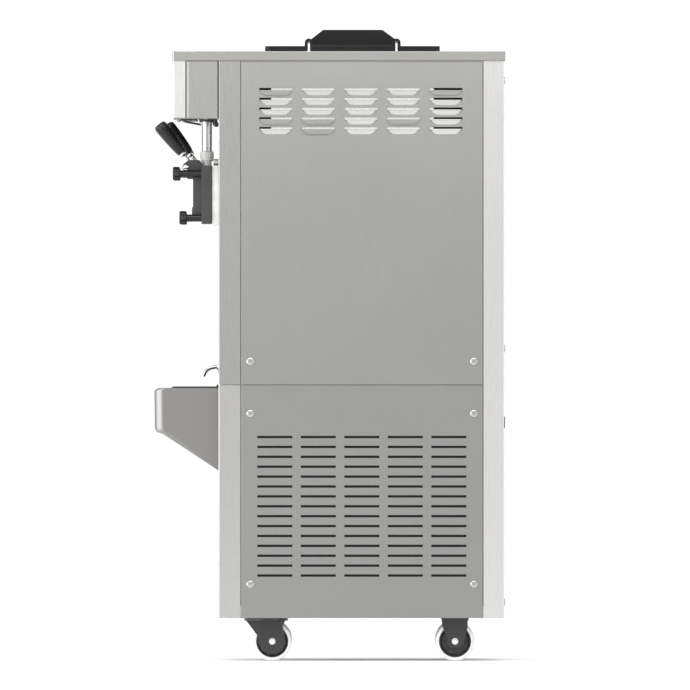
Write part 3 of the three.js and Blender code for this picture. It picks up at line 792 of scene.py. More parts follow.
def fold(radius, **place):
    """Picks the edges that lie at the given coordinates (x counts on both sides)."""

    def lies_on(edge):
        for axis, value in place.items():
            for vertex in edge.verts:
                here = vertex.co["xyz".index(axis)]
                if abs((abs(here) if axis == "x" else here) - value) > 1e-4:
                    return False
        return True

    return lies_on, radius


def side_hems(node):
    """The rolled front and rear edges of a side panel."""
    low, high = corners(node)
    return [fold(1.9 * MM, x=HALF, y=low.y), fold(1.9 * MM, x=HALF, y=high.y)]


def corner_folds(face, direction):
    """The outer and inner vertical folds where a cover turns the cabinet's corners."""
    radius = bpy.context.scene.softserve_sheet.fold_radius
    return [
        fold(radius, x=HALF, y=face),
        fold(radius - SHEET, x=HALF - SHEET, y=face + direction * SHEET),
    ]


# ---------- cabinet ----------
class SOFTSERVE_OT_covers(bpy.types.Operator):
    """Front and rear covers, lower side panels, filters, cap, base pan, frame, gland and gaskets"""

    bl_idname = "softserve.covers"
    bl_label = "Covers and Panels"

    filter_levels = (160 * MM, 478 * MM)

    def execute(self, context):
        edge = context.scene.softserve_sheet.edge_radius
        # The lower front cover takes the lightened copy of the cover steel, a painted highlight
        for node, key in (("upper_front_cover", "cover_steel"), ("lower_front_cover", "low_cover_steel_painted_light")):
            refined_piece(node, key, "brushed_stainless", edge, folds=corner_folds(FRONT, 1))
        # The rear cover takes the lightened copy of the cover steel, a painted highlight
        refined_piece("rear_cover", "rear_steel_painted_light", "brushed_stainless", edge, folds=corner_folds(REAR, -1))
        for side, _ in SIDES:
            node = f"lower_side_panel_{side}"
            # The lower side panels take the darkened copy of the panel steel, a painted shade
            refined_piece(node, "low_panel_steel_painted_shade", "brushed_stainless", edge, folds=side_hems(node))
            self.filter(side)
        self.cap(edge)
        for node in ("base_pan", "cabinet_frame"):
            refined_piece(node, "zinc", "zinc_steel", edge)
        self.gland()
        self.gaskets()
        return {"FINISHED"}

    def filter(self, side):
        """A black foam air filter clipped behind the lower side panel's slots."""
        low, high = corners(f"lower_side_panel_{side}")
        sign = 1 if low.x > 0 else -1
        xs = sorted((sign * (HALF - 3 * MM), sign * (HALF - 11 * MM)))
        bottom, top = self.filter_levels
        margin = 22 * MM
        foam = box_mesh("filter", (xs[0], low.y + margin, bottom), (xs[1], high.y - margin, top), 1.5 * MM)
        placed(f"air_filter_{side}", foam, "foam", "cabinet", "satin_black")

    def gaskets(self):
        """Thin black strips in the upright joints round the head."""
        strips = []
        for _, sign in SIDES:
            for y in (PANEL_HIGH.y, FRONT - 1.6 * MM):
                xs = sorted((sign * (HALF - 1.3 * MM), sign * (HALF + 0.12 * MM)))
                low = (xs[0], y - 0.3 * MM, HEAD_LOW.z + 2 * MM)
                strips.append(box_mesh("strip", low, (xs[1], y + 1.8 * MM, CABINET_TOP - MM), 0.1 * MM, 1))
        placed("head_gaskets", joined("head_gaskets", strips), "hub", "cabinet", "satin_black")

    def cap(self, edge):
        """The cap's top edge is folded all the way round."""
        margin = 5 * MM

        def outer_top(e):
            for v in e.verts:
                inside_x = abs(v.co.x) <= CAP_HIGH.x - margin
                inside_y = CAP_LOW.y + margin <= v.co.y <= CAP_HIGH.y - margin
                if abs(v.co.z - CAP_HIGH.z) > 1e-4 or (inside_x and inside_y):
                    return False
            return True

        folds = [(outer_top, 1.6 * MM)]
        refined_piece("top_cap", "cap_steel", "brushed_stainless", edge, folds=folds)

    def gland(self):
        """A moulded cable gland: hex flange nut, ribbed neck and bore."""
        low, high = corners("cord_gland")
        centre = Vector(((low.x + high.x) / 2, low.y, (low.z + high.z) / 2))
        depth, reach, bore = high.y - low.y, (high.x - low.x) / 2, 4.6 * MM
        flange = depth - 2.1 * MM
        profile = [(bore, 0), (8.6 * MM, 0), (9 * MM, 0.6 * MM), (9 * MM, flange)]
        profile += [(reach - 0.6 * MM, flange)]
        profile += [(reach, flange + 0.6 * MM), (reach, depth - 0.8 * MM), (reach - 0.8 * MM, depth)]
        profile += [(bore + 1.4 * MM, depth), (bore, depth - 1.2 * MM)]
        mesh = lathe("cord_gland_finished", profile, centre, "Y", 48)
        placed("cord_gland_finished", mesh, "hub", "cabinet", "satin_black", "cord_gland")


class SOFTSERVE_OT_louvres(bpy.types.Operator):
    """Upper side panels with louvres pressed inwards under their slots"""

    bl_idname = "softserve.louvres"
    bl_label = "Louvred Panels"

    columns, rows = 5, 5
    slot_width = 67.6 * MM
    pitch_y, pitch_z = 87.2 * MM, 20 * MM
    first_y, first_z = -144.4 * MM, 1089.7 * MM
    taper = 9.5 * MM
    corner = 5 * MM

    def half_width(self, fall):
        """Half the louvre's width at a share of its height, narrowing to round lower corners."""
        height = bpy.context.scene.softserve_louvre.height
        half = self.slot_width / 2 - self.taper * fall
        above_corner = (1 - fall) * height - self.corner
        if above_corner >= 0:
            return half
        return half - self.corner + math.sqrt(max(0, self.corner**2 - above_corner**2))

    def levels(self):
        return [0, 0.15, 0.3, 0.45, 0.6, 0.72, 0.82, 0.9, 0.96, 1]

    def opening(self):
        """The hole that a louvre leaves in its sheet, cut right through."""
        height = bpy.context.scene.softserve_louvre.height
        left = [(-self.half_width(f), -f * height) for f in self.levels()]
        right = [(self.half_width(f), -f * height) for f in reversed(self.levels())]
        outline = left + right + [(self.slot_width / 2, 0.6 * MM), (-self.slot_width / 2, 0.6 * MM)]
        return prism("opening", outline, (-4 * MM, 4 * MM), "X", 0)

    def flap(self, side):
        """A thin pressed flap: flush with the sheet below, leaning inwards up to its free lip."""
        settings = bpy.context.scene.softserve_louvre
        across, wall = 24, 1.0 * MM
        levels = self.levels()
        down = len(levels) - 1
        bm = bmesh.new()
        layers = []
        for inward in (0, wall):
            rows = []
            for fall in levels:
                row = []
                for i in range(across + 1):
                    u = math.sin(math.pi / 2 * (-1 + 2 * i / across))
                    shoulder = min(1, (1 - abs(u)) * 26) ** 0.6
                    sink = settings.depth * (1 - fall) * shoulder
                    width = self.half_width(fall) + 0.05 * MM
                    row.append(bm.verts.new((-side * (sink + inward), u * width, -fall * settings.height)))
                rows.append(row)
            layers.append(rows)
        for rows in layers:
            for a, b in zip(rows, rows[1:]):
                for i in range(across):
                    bm.faces.new((a[i], a[i + 1], b[i + 1], b[i]))
        outer, inner = layers
        rim = [(0, i) for i in range(across + 1)] + [(r, across) for r in range(1, down + 1)]
        rim += [(down, i) for i in range(across - 1, -1, -1)] + [(r, 0) for r in range(down - 1, 0, -1)]
        for (r0, i0), (r1, i1) in zip(rim, rim[1:] + rim[:1]):
            bm.faces.new((outer[r0][i0], outer[r1][i1], inner[r1][i1], inner[r0][i0]))
        return mesh_from(bm, "flap")

    def grid(self, name, template, sign):
        counts = {"columns": self.columns, "rows": self.rows}
        steps = {"column_step": (0, self.pitch_y, 0), "row_step": (0, 0, self.pitch_z)}
        start = (sign * HALF, self.first_y + self.slot_width / 2, self.first_z)
        return grown_mesh("grid", name, template, "panel_steel", **counts, start=start, **steps)

    def execute(self, context):
        edge = context.scene.softserve_sheet.edge_radius
        for side, sign in SIDES:
            openings = self.grid("openings", self.opening(), sign)
            node = f"upper_side_panel_{side}"
            folds = side_hems(node)
            refined_piece(node, "panel_steel", "brushed_stainless", edge, folds=folds, cutters=[openings])
            name = f"louvres_{side}"
            flaps = self.grid(name, self.flap(sign), sign)
            placed(name, flaps, "panel_steel", "cabinet", "brushed_stainless")
        return {"FINISHED"}


class SOFTSERVE_OT_screws(bpy.types.Operator):
    """Dome head cross recess screws on the side panels and the rear cover"""

    bl_idname = "softserve.screws"
    bl_label = "Panel Screws"

    front_y, rear_y = -163 * MM, 295.5 * MM
    heights = (157 * MM, 507 * MM, 614 * MM)
    rear_x = 240 * MM
    rear_heights = (120 * MM, 640 * MM, 1190 * MM)

    def screw(self, axis, sign):
        """A domed head with a cross pressed into it."""
        settings = bpy.context.scene.softserve_screw
        radius, height = settings.radius, settings.height
        steps = 7
        dome = [(0, -0.4 * MM), (radius, -0.4 * MM), (radius, 0.5 * MM)]
        for i in range(1, steps):
            angle = math.pi / 2 * i / steps
            dome.append((radius * math.cos(angle), 0.5 * MM + (height - 0.5 * MM) * math.sin(angle)))
        dome.append((0, height))
        head = lathe("screw", dome, (0, 0, 0), "Z", 32)
        arm, thick, deep = 3.0 * MM, 0.65 * MM, 1.7 * MM
        bars = [
            box_mesh("bar", (-arm, -thick, height - deep), (arm, thick, height + MM), 0),
            box_mesh("bar", (-thick, -arm, height - deep), (thick, arm, height + MM), 0),
        ]
        head = carved("screw", head, bars)
        head.transform(tilt_to(WORLD_AXES[axis] * sign))
        return head

    def pair(self, axis, sign, start, step):
        """Two screws, one step apart."""
        return row_mesh("screws", self.screw(axis, sign), "screw", 2, start, step)

    def execute(self, context):
        step = (0, self.rear_y - self.front_y, 0)
        for side, sign in SIDES:
            groups = [self.pair("X", sign, (sign * HALF, self.front_y, z), step) for z in self.heights]
            name = f"side_screws_{side}"
            placed(name, joined(name, groups), "screw", "cabinet", "polished_steel")
        step = (2 * self.rear_x, 0, 0)
        groups = [self.pair("Y", 1, (-self.rear_x, REAR, z), step) for z in self.rear_heights]
        placed("rear_screws", joined("rear_screws", groups), "screw", "cabinet", "polished_steel")
        return {"FINISHED"}


# ---------- head ----------
class SOFTSERVE_OT_head(bpy.types.Operator):
    """Head housing, control panel, display window, buttons and the small pieces under the head"""

    bl_idname = "softserve.head"
    bl_label = "Head and Controls"

    plate_y = (-290.6 * MM, -230.6 * MM)
    hem_y = -289.9 * MM
    strip_y = (-306 * MM, -272 * MM)
    switch_x, lens_x = 150 * MM, 60 * MM

    def execute(self, context):
        edge = context.scene.softserve_sheet.edge_radius
        radius = context.scene.softserve_sheet.fold_radius
        refined_piece("head_housing", "dark_steel", "brushed_stainless", edge)
        folds = [
            fold(radius, x=HALF, y=PANEL_LOW.y),
            fold(radius - SHEET, x=HALF - SHEET, y=PANEL_LOW.y + SHEET),
        ]
        refined_piece("control_panel", "head_steel", "brushed_stainless", edge, folds=folds)
        self.side_plates()
        self.hems()
        self.window()
        self.buttons()
        self.under_head()
        return {"FINISHED"}

    def side_plates(self):
        """A raised plate with bright edges on each side of the head."""
        for side, sign in SIDES:
            xs = sorted((sign * (HALF + 0.1 * MM), sign * (HALF + 1.9 * MM)))
            low = (xs[0], self.plate_y[0], HEAD_LOW.z + 0.6 * MM)
            high = (xs[1], self.plate_y[1], HEAD_HIGH.z - 1.5 * MM)
            plate = box_mesh("plate", low, high, 1.5 * MM, 4)
            placed(f"head_side_plate_{side}", plate, "dark_steel", "cabinet", "brushed_stainless")

    def hems(self):
        """Polished folded hems down the front of the head's side plates."""
        for side, sign in SIDES:
            x = sign * HALF
            centre = (x - sign * 0.5 * MM, self.hem_y, 0)
            low, high = HEAD_LOW.z + 2 * MM, HEAD_HIGH.z - 2.5 * MM
            hem = lathe("hem", [(0, low), (1.4 * MM, low), (1.4 * MM, high), (0, high)], centre, "Z", 24)
            placed(f"head_hem_{side}", hem, "chrome", "cabinet", "polished_steel")

    def window(self):
        """A smoked window over the display, in a thin black frame."""
        y = PANEL_LOW.y
        outline = rounded_outline((-95 * MM, 1183 * MM), (95 * MM, 1216 * MM), 5 * MM)
        frame_mesh = prism("display_bezel", outline, (y - 0.6 * MM, y + 0.4 * MM), "Y", 0.3 * MM, 2)
        placed("display_bezel", frame_mesh, "satin_black", "cabinet", "satin_black")
        outline = rounded_outline((-89 * MM, 1187.5 * MM), (89 * MM, 1211.5 * MM), 3 * MM)
        glass = prism("display_window", outline, (y - 0.8 * MM, y - 0.4 * MM), "Y", 0.15 * MM, 2)
        placed("display_window", glass, "window", "cabinet", "gloss_black")

    def buttons(self):
        """Crowned push buttons, each in a polished ring that stays on the panel."""
        for node in ("start_button", "wash_button", "stop_button"):
            low, high = corners(node)
            centre = (low + high) / 2
            collar = (high.x - low.x) / 2
            radius = collar - 3 * MM
            depth = high.y - low.y
            profile = [(0, 0), (radius * 0.55, 0.05 * MM), (radius * 0.85, 0.2 * MM)]
            profile += [(radius - 0.2 * MM, 0.5 * MM)]
            profile += [(radius, MM), (radius, depth - 4 * MM), (collar, depth - 4 * MM), (collar, depth)]
            profile += [(0, depth)]
            mesh = lathe(node, profile, (centre.x, low.y, centre.z), "Y", 48)
            placed(node + "_finished", mesh, "gloss_black", body_name(node), "satin_black", node)
            y = PANEL_LOW.y
            ring = [(radius + 0.7 * MM, 0), (radius + 3.0 * MM, 0), (radius + 2.6 * MM, -0.25 * MM)]
            ring += [(radius + 1.4 * MM, -0.3 * MM), (radius + 0.7 * MM, -0.2 * MM)]
            mesh = lathe(node + "_ring", ring, (centre.x, y, centre.z), "Y", 48)
            placed(node + "_ring", mesh, "polished", "cabinet", "polished_steel")

    def under_head(self):
        """Rod bushes, a switch strip with its thin lever, a round stop and a work light lens."""
        low = HEAD_LOW.z
        rods = [corners(f"piston_rod_{spout}") for spout in SPOUTS]
        inner = (rods[0][1].x - rods[0][0].x) / 2 + 0.5 * MM
        for spout, (a, b) in zip(SPOUTS, rods):
            centre = ((a.x + b.x) / 2, (a.y + b.y) / 2, low)
            ring = [(inner, -5.5 * MM), (inner + 4 * MM, -5.5 * MM), (inner + 4.6 * MM, -4.9 * MM)]
            ring += [(inner + 4.6 * MM, -0.2 * MM), (inner, -0.2 * MM)]
            mesh = lathe("bush", ring, centre, "Z", 64)
            placed(f"rod_bush_{spout}", mesh, "satin_black", "cabinet", "satin_black")
        (front, rear), reach = self.strip_y, 185 * MM
        bottom, top = (-reach, front, low - 3.2 * MM), (reach, rear, low - 0.2 * MM)
        strip = box_mesh("strip", bottom, top, 0.6 * MM)
        placed("switch_strip", strip, "satin_black", "cabinet", "satin_black")
        wires = []
        for x in (self.switch_x, -self.switch_x):
            path = [(x, y, low - drop) for y, drop in mm((-302, 3), (-290, 6), (-265, 10.4))]
            wires.append(tube_mesh("wire", smooth_path(path, 6), 1.3 * MM, 12))
        placed("switch_levers", joined("switch_levers", wires), "satin_black", "cabinet", "satin_black")
        knobs = []
        for x in (self.switch_x, -self.switch_x):
            dome = mm((0, -14.5), (3.4, -13.8), (5.6, -11.6), (6, -9.4))
            dome += mm((5.2, -6.4), (3, -5), (3, -0.2), (0, -0.2))
            knobs.append(lathe("stop", dome, (x, -235 * MM, low), "Z", 40))
        placed("head_stops", joined("head_stops", knobs), "satin_black", "cabinet", "satin_black")
        lenses = []
        for x in (self.lens_x, -self.lens_x):
            lens = mm((0, -5.4), (2.6, -5), (4.6, -3.4), (5.2, -0.2), (0, -0.2))
            lenses.append(lathe("lens", lens, (x, -312 * MM, low), "Z", 40))
        placed("cup_light_lenses", joined("cup_light_lenses", lenses), "white", "cabinet", "white_plastic")


# ---------- hoppers and lids ----------
class SOFTSERVE_OT_hoppers(bpy.types.Operator):
    """Stainless mix hoppers, their insulation and their black lids"""

    bl_idname = "softserve.hoppers"
    bl_label = "Hoppers and Lids"

    tub_half = (89 * MM, 166 * MM)
    block_half = (246 * MM, 166.5 * MM)
    block_levels = (1078 * MM, 1229 * MM)

    def execute(self, context):
        edge = context.scene.softserve_sheet.edge_radius
        for side, _ in SIDES:
            refined_piece(f"hopper_{side}", "polished", "brushed_stainless", edge)
            self.lid(f"hopper_lid_{side}")
        self.jacket()
        return {"FINISHED"}

    def lid(self, node):
        """A lid whose plate is well rounded along its rim."""
        low, high = corners(node)
        plate_top = low.z + 10.8 * MM
        margin = 13 * MM

        def rim(edge):
            for v in edge.verts:
                inside_x = low.x + margin < v.co.x < high.x - margin
                inside_y = low.y + margin < v.co.y < high.y - margin
                if abs(v.co.z - plate_top) > 1e-4 or (inside_x and inside_y):
                    return False
            return edge.calc_face_angle(0) > math.radians(40)

        folds = [(rim, 3.2 * MM)]
        refined_piece(node, "lid_black", "gloss_black", 0.9 * MM, 3, folds=folds)

    def jacket(self):
        """The foil-faced insulation block round both hoppers."""
        tubs = []
        half_x, half_y = self.tub_half
        for side, _ in SIDES:
            low, high = corners(f"hopper_{side}")
            x, y = (low.x + high.x) / 2, (low.y + high.y) / 2
            outline = rounded_outline((x - half_x, y - half_y), (x + half_x, y + half_y), 21 * MM)
            tubs.append(prism("tub", outline, (1.0, 1.3), "Z", 0))
        reach_x, reach_y = self.block_half
        bottom, top = self.block_levels
        block = box_mesh("jacket", (-reach_x, y - reach_y, bottom), (reach_x, y + reach_y, top), 0)
        block = carved("jacket", block, tubs)
        placed("hopper_insulation", block, "foil", "cabinet", "condenser_fins")


# ---------- dispenser ----------
class SOFTSERVE_OT_dispenser(bpy.types.Operator):
    """Dispensing door, the plate behind it, pistons, rods, pivot pin, studs and door knobs"""

    bl_idname = "softserve.dispenser"
    bl_label = "Dispenser"

    door_front = -281 * MM
    boss_levels = (914 * MM, 931 * MM)
    stud_x, stud_y = 140 * MM, -239.4 * MM

    def execute(self, context):
        refined_piece("dispensing_door", "satin_black", "satin_black", 1.2 * MM, 3)
        refined_piece("cylinder_plate", "white", "white_plastic", 1.0 * MM, 3)
        for spout in SPOUTS:
            self.piston(spout)
            self.rod(spout)
        self.door_details()
        self.pin()
        for side, _ in SIDES:
            self.knob(f"upper_door_knob_{side}")
            self.knob(f"lower_door_knob_{side}")
        return {"FINISHED"}

    def piston(self, spout):
        """A white piston: long neck, seal grooves and a collar with grip ribs."""
        node = f"piston_{spout}"
        low, high = corners(node)
        centre = ((low.x + high.x) / 2, (low.y + high.y) / 2, 0)
        collar = (high.x - low.x) / 2
        neck = collar - 4 * MM
        collar_bottom = high.z - 19.5 * MM
        groove = 0.9 * MM
        core = collar - 0.7 * MM
        profile = [(0, low.z), (neck - MM, low.z), (neck, low.z + MM)]
        for z in (low.z + 12 * MM, low.z + 30 * MM, low.z + 70 * MM):
            profile += [(neck, z), (neck - groove, z + 0.3 * MM)]
            profile += [(neck - groove, z + 2.7 * MM), (neck, z + 3 * MM)]
        profile += [(neck, collar_bottom - 0.8 * MM), (neck + 0.8 * MM, collar_bottom)]
        profile += [(core - 0.6 * MM, collar_bottom), (core, collar_bottom + 0.6 * MM)]
        profile += [(core, high.z - 0.9 * MM), (core - 0.3 * MM, high.z - 0.3 * MM), (core - MM, high.z)]
        profile += [(0, high.z)]
        mesh = lathe(node, profile, centre, "Z", 64)
        pivot_z = corners("pivot_pin")[0].z + 5.5 * MM
        slot_low = (centre[0] - 4.5 * MM, centre[1] - 20 * MM, pivot_z + 8.2 * MM)
        slot_high = (centre[0] + 4.5 * MM, centre[1] + 20 * MM, pivot_z + 21 * MM)
        mesh = carved(node, mesh, [box_mesh("slot", slot_low, slot_high, 0)])
        placed(node + "_finished", mesh, "white", node, "white_plastic", node)
        bottom, top = collar_bottom + 5.5 * MM, high.z - 1.2 * MM
        rib = box_mesh("rib", (-0.6 * MM, -0.55 * MM, bottom), (0.65 * MM, 0.55 * MM, top), 0.25 * MM, 1)
        count = bpy.context.scene.softserve_dispenser.rib_count
        ribs = ring_mesh("ribs", rib, "white", count, core, (0, 0, 0), centre)
        placed(f"piston_ribs_{spout}", ribs, "white", node, "white_plastic")

    def rod(self, spout):
        """A polished rod with a turned groove near its foot."""
        node = f"piston_rod_{spout}"
        low, high = corners(node)
        radius = (high.x - low.x) / 2
        profile = [(0, low.z), (radius - 0.8 * MM, low.z), (radius, low.z + 0.8 * MM)]
        profile += [(radius, low.z + 5 * MM)]
        profile += [(radius - 0.6 * MM, low.z + 5.4 * MM), (radius - 0.6 * MM, low.z + 6.8 * MM)]
        profile += [(radius, low.z + 7.2 * MM), (radius, high.z - 0.6 * MM)]
        profile += [(radius - 0.6 * MM, high.z), (0, high.z)]
        mesh = lathe(node, profile, ((low.x + high.x) / 2, (low.y + high.y) / 2, 0), "Z", 96)
        placed(node + "_finished", mesh, "chrome", f"piston_{spout}", "polished_steel", node)

    def door_details(self):
        """The moulded bosses low on the door and the studs above the plate behind it."""
        plate_high = corners("cylinder_plate")[1]
        front = self.door_front
        bottom, top = self.boss_levels
        bulges = []
        for spout in SPOUTS:
            a, b = corners(f"piston_{spout}")
            x = (a.x + b.x) / 2
            outline = rounded_outline((x - 27 * MM, bottom), (x + 27 * MM, top), 6 * MM)
            bulges.append(prism("bulge", outline, (front - 2.2 * MM, front + MM), "Y", 1.2 * MM, 3))
        placed("door_bosses", joined("door_bosses", bulges), "satin_black", "cabinet", "satin_black")
        studs = []
        for x in (self.stud_x, -self.stud_x):
            stud = mm((0, 0), (5.2, 0), (6, 0.8), (6, 11), (0, 11))
            studs.append(lathe("stud", stud, (x, self.stud_y, plate_high.z + 8.8 * MM), "Y", 32))
        placed("plate_studs", joined("plate_studs", studs), "zinc", "cabinet", "zinc_steel")

    def pin(self):
        """The levers' pivot pin with its domed ends."""
        low, high = corners("pivot_pin")
        middle_y, middle_z = (low.y + high.y) / 2, (low.z + high.z) / 2
        head = (high.z - low.z) / 2
        shank = head - 1.5 * MM
        reach = high.x
        profile = [(0, -reach), (head - 2 * MM, -reach + 0.3 * MM), (head - 0.4 * MM, -reach + 1.4 * MM)]
        profile += [(head, -reach + 2 * MM), (head, -reach + 3.2 * MM), (shank, -reach + 3.2 * MM)]
        profile = mirrored(profile)
        mesh = lathe("pivot_pin_finished", profile, (0, middle_y, middle_z), "X", 48)
        placed("pivot_pin_finished", mesh, "polished", "cabinet", "polished_steel", "pivot_pin")

    def knob(self, node):
        """A lobed knob with a dished face, a waist and a threaded neck behind it."""
        low, high = corners(node)
        centre = (low + high) / 2
        radius = (high.x - low.x) / 2
        depth, reach = 14.5 * MM, high.y - low.y
        lobes, sides = 7, 112
        shape = [(0.35, 1.2), (0.62, 0.6), (0.82, 0.0), (0.93, 0.5), (1.0, 2.2)]
        shape += [(1.0, depth / MM - 2.6), (0.94, depth / MM - 0.8), (0.82, depth / MM)]
        bm = bmesh.new()
        hub = bm.verts.new((0, 0, 1.4 * MM))
        rings = []
        for share, along in shape:
            ring = []
            for i in range(sides):
                angle = 2 * math.pi * i / sides
                flute = 0.075 * max(0, share - 0.5) * 2 * (1 - math.cos(lobes * angle))
                r = radius * (share - flute)
                ring.append(bm.verts.new((r * math.cos(angle), r * math.sin(angle), along * MM)))
            rings.append(ring)
        neck = 7 * MM
        for r, along in ((neck, depth), (neck, reach)):
            ring = []
            for i in range(sides):
                angle = 2 * math.pi * i / sides
                ring.append(bm.verts.new((r * math.cos(angle), r * math.sin(angle), along)))
            rings.append(ring)
        tail = bm.verts.new((0, 0, reach))
        for i in range(sides):
            j = (i + 1) % sides
            bm.faces.new((hub, rings[0][i], rings[0][j]))
            bm.faces.new((tail, rings[-1][i], rings[-1][j]))
            for a, b in zip(rings, rings[1:]):
                bm.faces.new((a[i], a[j], b[j], b[i]))
        mesh = mesh_from(bm, node)
        mesh.transform(Matrix.Translation((centre.x, low.y, centre.z)) @ axis_turn("Y"))
        placed(node + "_finished", mesh, "gloss_black", node, "gloss_black", node)


# ---------- levers ----------
class SOFTSERVE_OT_levers(bpy.types.Operator):
    """Lever hubs, polished stems and ferrules, and tapered black grips"""

    bl_idname = "softserve.levers"
    bl_label = "Levers"

    end, neck = (-52.9 * MM, 84.8 * MM), (-8.8 * MM, 29.4 * MM)
    half_width, middle_shift = 10 * MM, 15 * MM
    pin_hole = 4.3 * MM
    stem_bore = 4.8

    def execute(self, context):
        pin_low, pin_high = corners("pivot_pin")
        y, z = (pin_low.y + pin_high.y) / 2, (pin_low.z + pin_high.z) / 2
        for spout in SPOUTS:
            low, high = corners(f"piston_{spout}")
            pivot = Vector(((low.x + high.x) / 2, y, z))
            self.lever(spout, pivot, self.middle_shift if spout == "middle" else 0)
        return {"FINISHED"}

    def lever(self, spout, pivot, shift):
        """A hub with its tongue and eye, and a stem and grip that lean away from it."""
        body = f"lever_{spout}"
        outline = [(-5, -8), (24, -9), (27, -4), (28, 13.2), (22, 15), (-5, 8)]
        outline = [(pivot.y + u * MM, pivot.z + v * MM) for u, v in outline]
        span = (pivot.x - self.half_width, pivot.x + self.half_width)
        block = prism("hub", outline, span, "X", 1.2 * MM, 3)
        half, hole = self.half_width, self.pin_hole
        eye = mirrored([(hole, -half), (9 * MM, -half), (9.5 * MM, -half + 0.5 * MM)])
        bore = lathe("bore", [(0, -0.02), (hole, -0.02), (hole, 0.02), (0, 0.02)], pivot, "X", 40)
        block = carved("hub", block, [bore])
        eye_mesh = lathe("eye", eye, pivot, "X", 64)
        tongue = box_mesh(
            "tongue",
            (pivot.x - 3.7 * MM, pivot.y + 26 * MM, pivot.z + 8.6 * MM),
            (pivot.x + 3.7 * MM, pivot.y + 51 * MM, pivot.z + 13.2 * MM),
            0.5 * MM,
        )
        whole = joined("hub", [block, eye_mesh, tongue])
        placed(f"lever_hub_{spout}", whole, "chrome", body, "polished_steel", body)
        direction = Vector((0, self.end[0] - self.neck[0], self.end[1] - self.neck[1])).normalized()
        origin = pivot + Vector((0, self.neck[0] + shift, self.neck[1]))
        turn = Matrix.Translation(origin) @ tilt_to(direction)

        def leaned(name, profile, sides=64):
            mesh = lathe(name, mm(*profile), (0, 0, 0), "Z", sides)
            mesh.transform(turn)
            return mesh

        stem = leaned("stem", [(0, -26), (4.5, -26), (4.5, 53.4), (3.9, 54), (0, 54)], 48)
        cone = [(4.4, -8.2), (5.2, -8.2), (5.9, -7.2), (8.3, -4.4), (8.7, -3.6), (8.7, -0.8)]
        ferrule = leaned("ferrule", cone + [(8.3, -0.3), (4.4, -0.3)])
        placed(f"lever_stem_{spout}", joined("stem", [stem, ferrule]), "polished", body, "polished_steel")
        profile = [(0, 56), (self.stem_bore, 56), (self.stem_bore, 0), (7.9, 0), (8.6, 0.25), (8.9, 1.2)]
        profile += [(10.4, 8), (11.6, 18), (12.5, 29), (13.2, 40), (13.7, 50), (14.0, 59), (14.2, 64)]
        profile += [(14.0, 68.5), (13.2, 72), (11.6, 74.6), (8.6, 76.1), (4.6, 76.5), (0, 76.5)]
        mesh = leaned("grip", profile, 96)
        node = f"lever_grip_{spout}"
        placed(node + "_finished", mesh, "gloss_black", body, "gloss_black", node)


# ---------- drip tray ----------
class SOFTSERVE_OT_drip_tray(bpy.types.Operator):
    """Drip tray housing, pan, grate and the drip tube above it"""

    bl_idname = "softserve.drip_tray"
    bl_label = "Drip Tray"

    corner = 19 * MM
    nose_z, tube_z = 464 * MM, 602.7 * MM

    def execute(self, context):
        self.housing()
        refined_piece("drip_pan", "satin_black", "satin_black", 0.5 * MM)
        refined_piece("drip_grate", "satin_black", "satin_black", 0.35 * MM)
        self.tube()
        return {"FINISHED"}

    def outline(self, inset):
        """The housing's outline in (y, z): flat top, round nose, sloping underside."""
        low, high = corners("drip_tray_housing")
        front, rear, top = low.y, high.y - inset, high.z
        nose, heel = self.nose_z, low.z
        points = [(rear, top - inset)]
        points += arc((front + 8 * MM, top - 8 * MM), 8 * MM - inset, 90, 180, 6)
        points.append((front + MM + inset, nose + 13 * MM))
        points.append((front + 5 * MM + inset, nose + 5 * MM + inset * 0.6))
        points.append((front + 18.7 * MM, nose + inset * 1.2))
        points.append((rear, heel + inset * 1.2))
        return points

    def shell(self, inset, radius):
        """The outline lofted across the machine, drawn back round the two upright front corners."""
        low, high = corners("drip_tray_housing")
        front, rear = low.y + inset, high.y
        half = high.x - inset
        stations = [half - radius + radius * math.sin(math.pi / 2 * i / 8) for i in range(9)]
        xs = [-x for x in reversed(stations)] + stations
        bm = bmesh.new()
        rings = []
        for x in xs:
            over = max(0, abs(x) - (half - radius))
            back = radius - math.sqrt(max(0, radius**2 - over**2))
            shrink = (rear - front - back) / (rear - front)
            rings.append([bm.verts.new((x, rear + (y - rear) * shrink, z)) for y, z in self.outline(inset)])
        count = len(rings[0])
        for a, b in zip(rings, rings[1:]):
            for i in range(count):
                j = (i + 1) % count
                bm.faces.new((a[i], a[j], b[j], b[i]))
        bm.faces.new(rings[0])
        bm.faces.new(rings[-1])
        return mesh_from(bm, "shell")

    def housing(self):
        """A hollow steel box with a mouth for the pan and large round front corners."""
        node = "drip_tray_housing"
        top = corners(node)[1].z
        pan_low, pan_high = corners("drip_pan")
        mouth_low = (pan_low.x + 5 * MM, pan_low.y + 4 * MM, top - 5 * MM)
        mouth_high = (pan_high.x - 5 * MM, pan_high.y - 3 * MM, top + MM)
        cuts = [self.shell(SHEET, self.corner - SHEET), box_mesh("mouth", mouth_low, mouth_high, 0)]
        mesh = carved("housing", self.shell(0, self.corner), cuts)
        placed(node + "_finished", mesh, "tray_steel", "cabinet", "brushed_stainless", node)

    def tube(self):
        """A bent polished tube, open at its end, out of a stepped rosette."""
        z = self.tube_z
        face = FRONT - 0.3 * MM
        bends = [(face + 0.001, z), (-236 * MM, z), (-247 * MM, z - 2.5 * MM), (-255.5 * MM, z - 9 * MM)]
        bends.append((-260.6 * MM, z - 19 * MM))
        path = smooth_path([(0, y, height) for y, height in bends], 10)
        tube = tube_mesh("tube", path, 3.9 * MM, 32, wall=0.7 * MM)
        profile = mm((4.0, 0), (11, 0), (11, -1), (10.2, -1.9), (6.4, -2.3))
        profile += mm((5.6, -3.6), (4.0, -4.2))
        rosette = lathe("rosette", profile, (0, face, z), "Y", 64)
        mesh = joined("drip_tube", [tube, rosette])
        placed("drip_tube_finished", mesh, "chrome", "cabinet", "polished_steel", "drip_tube")


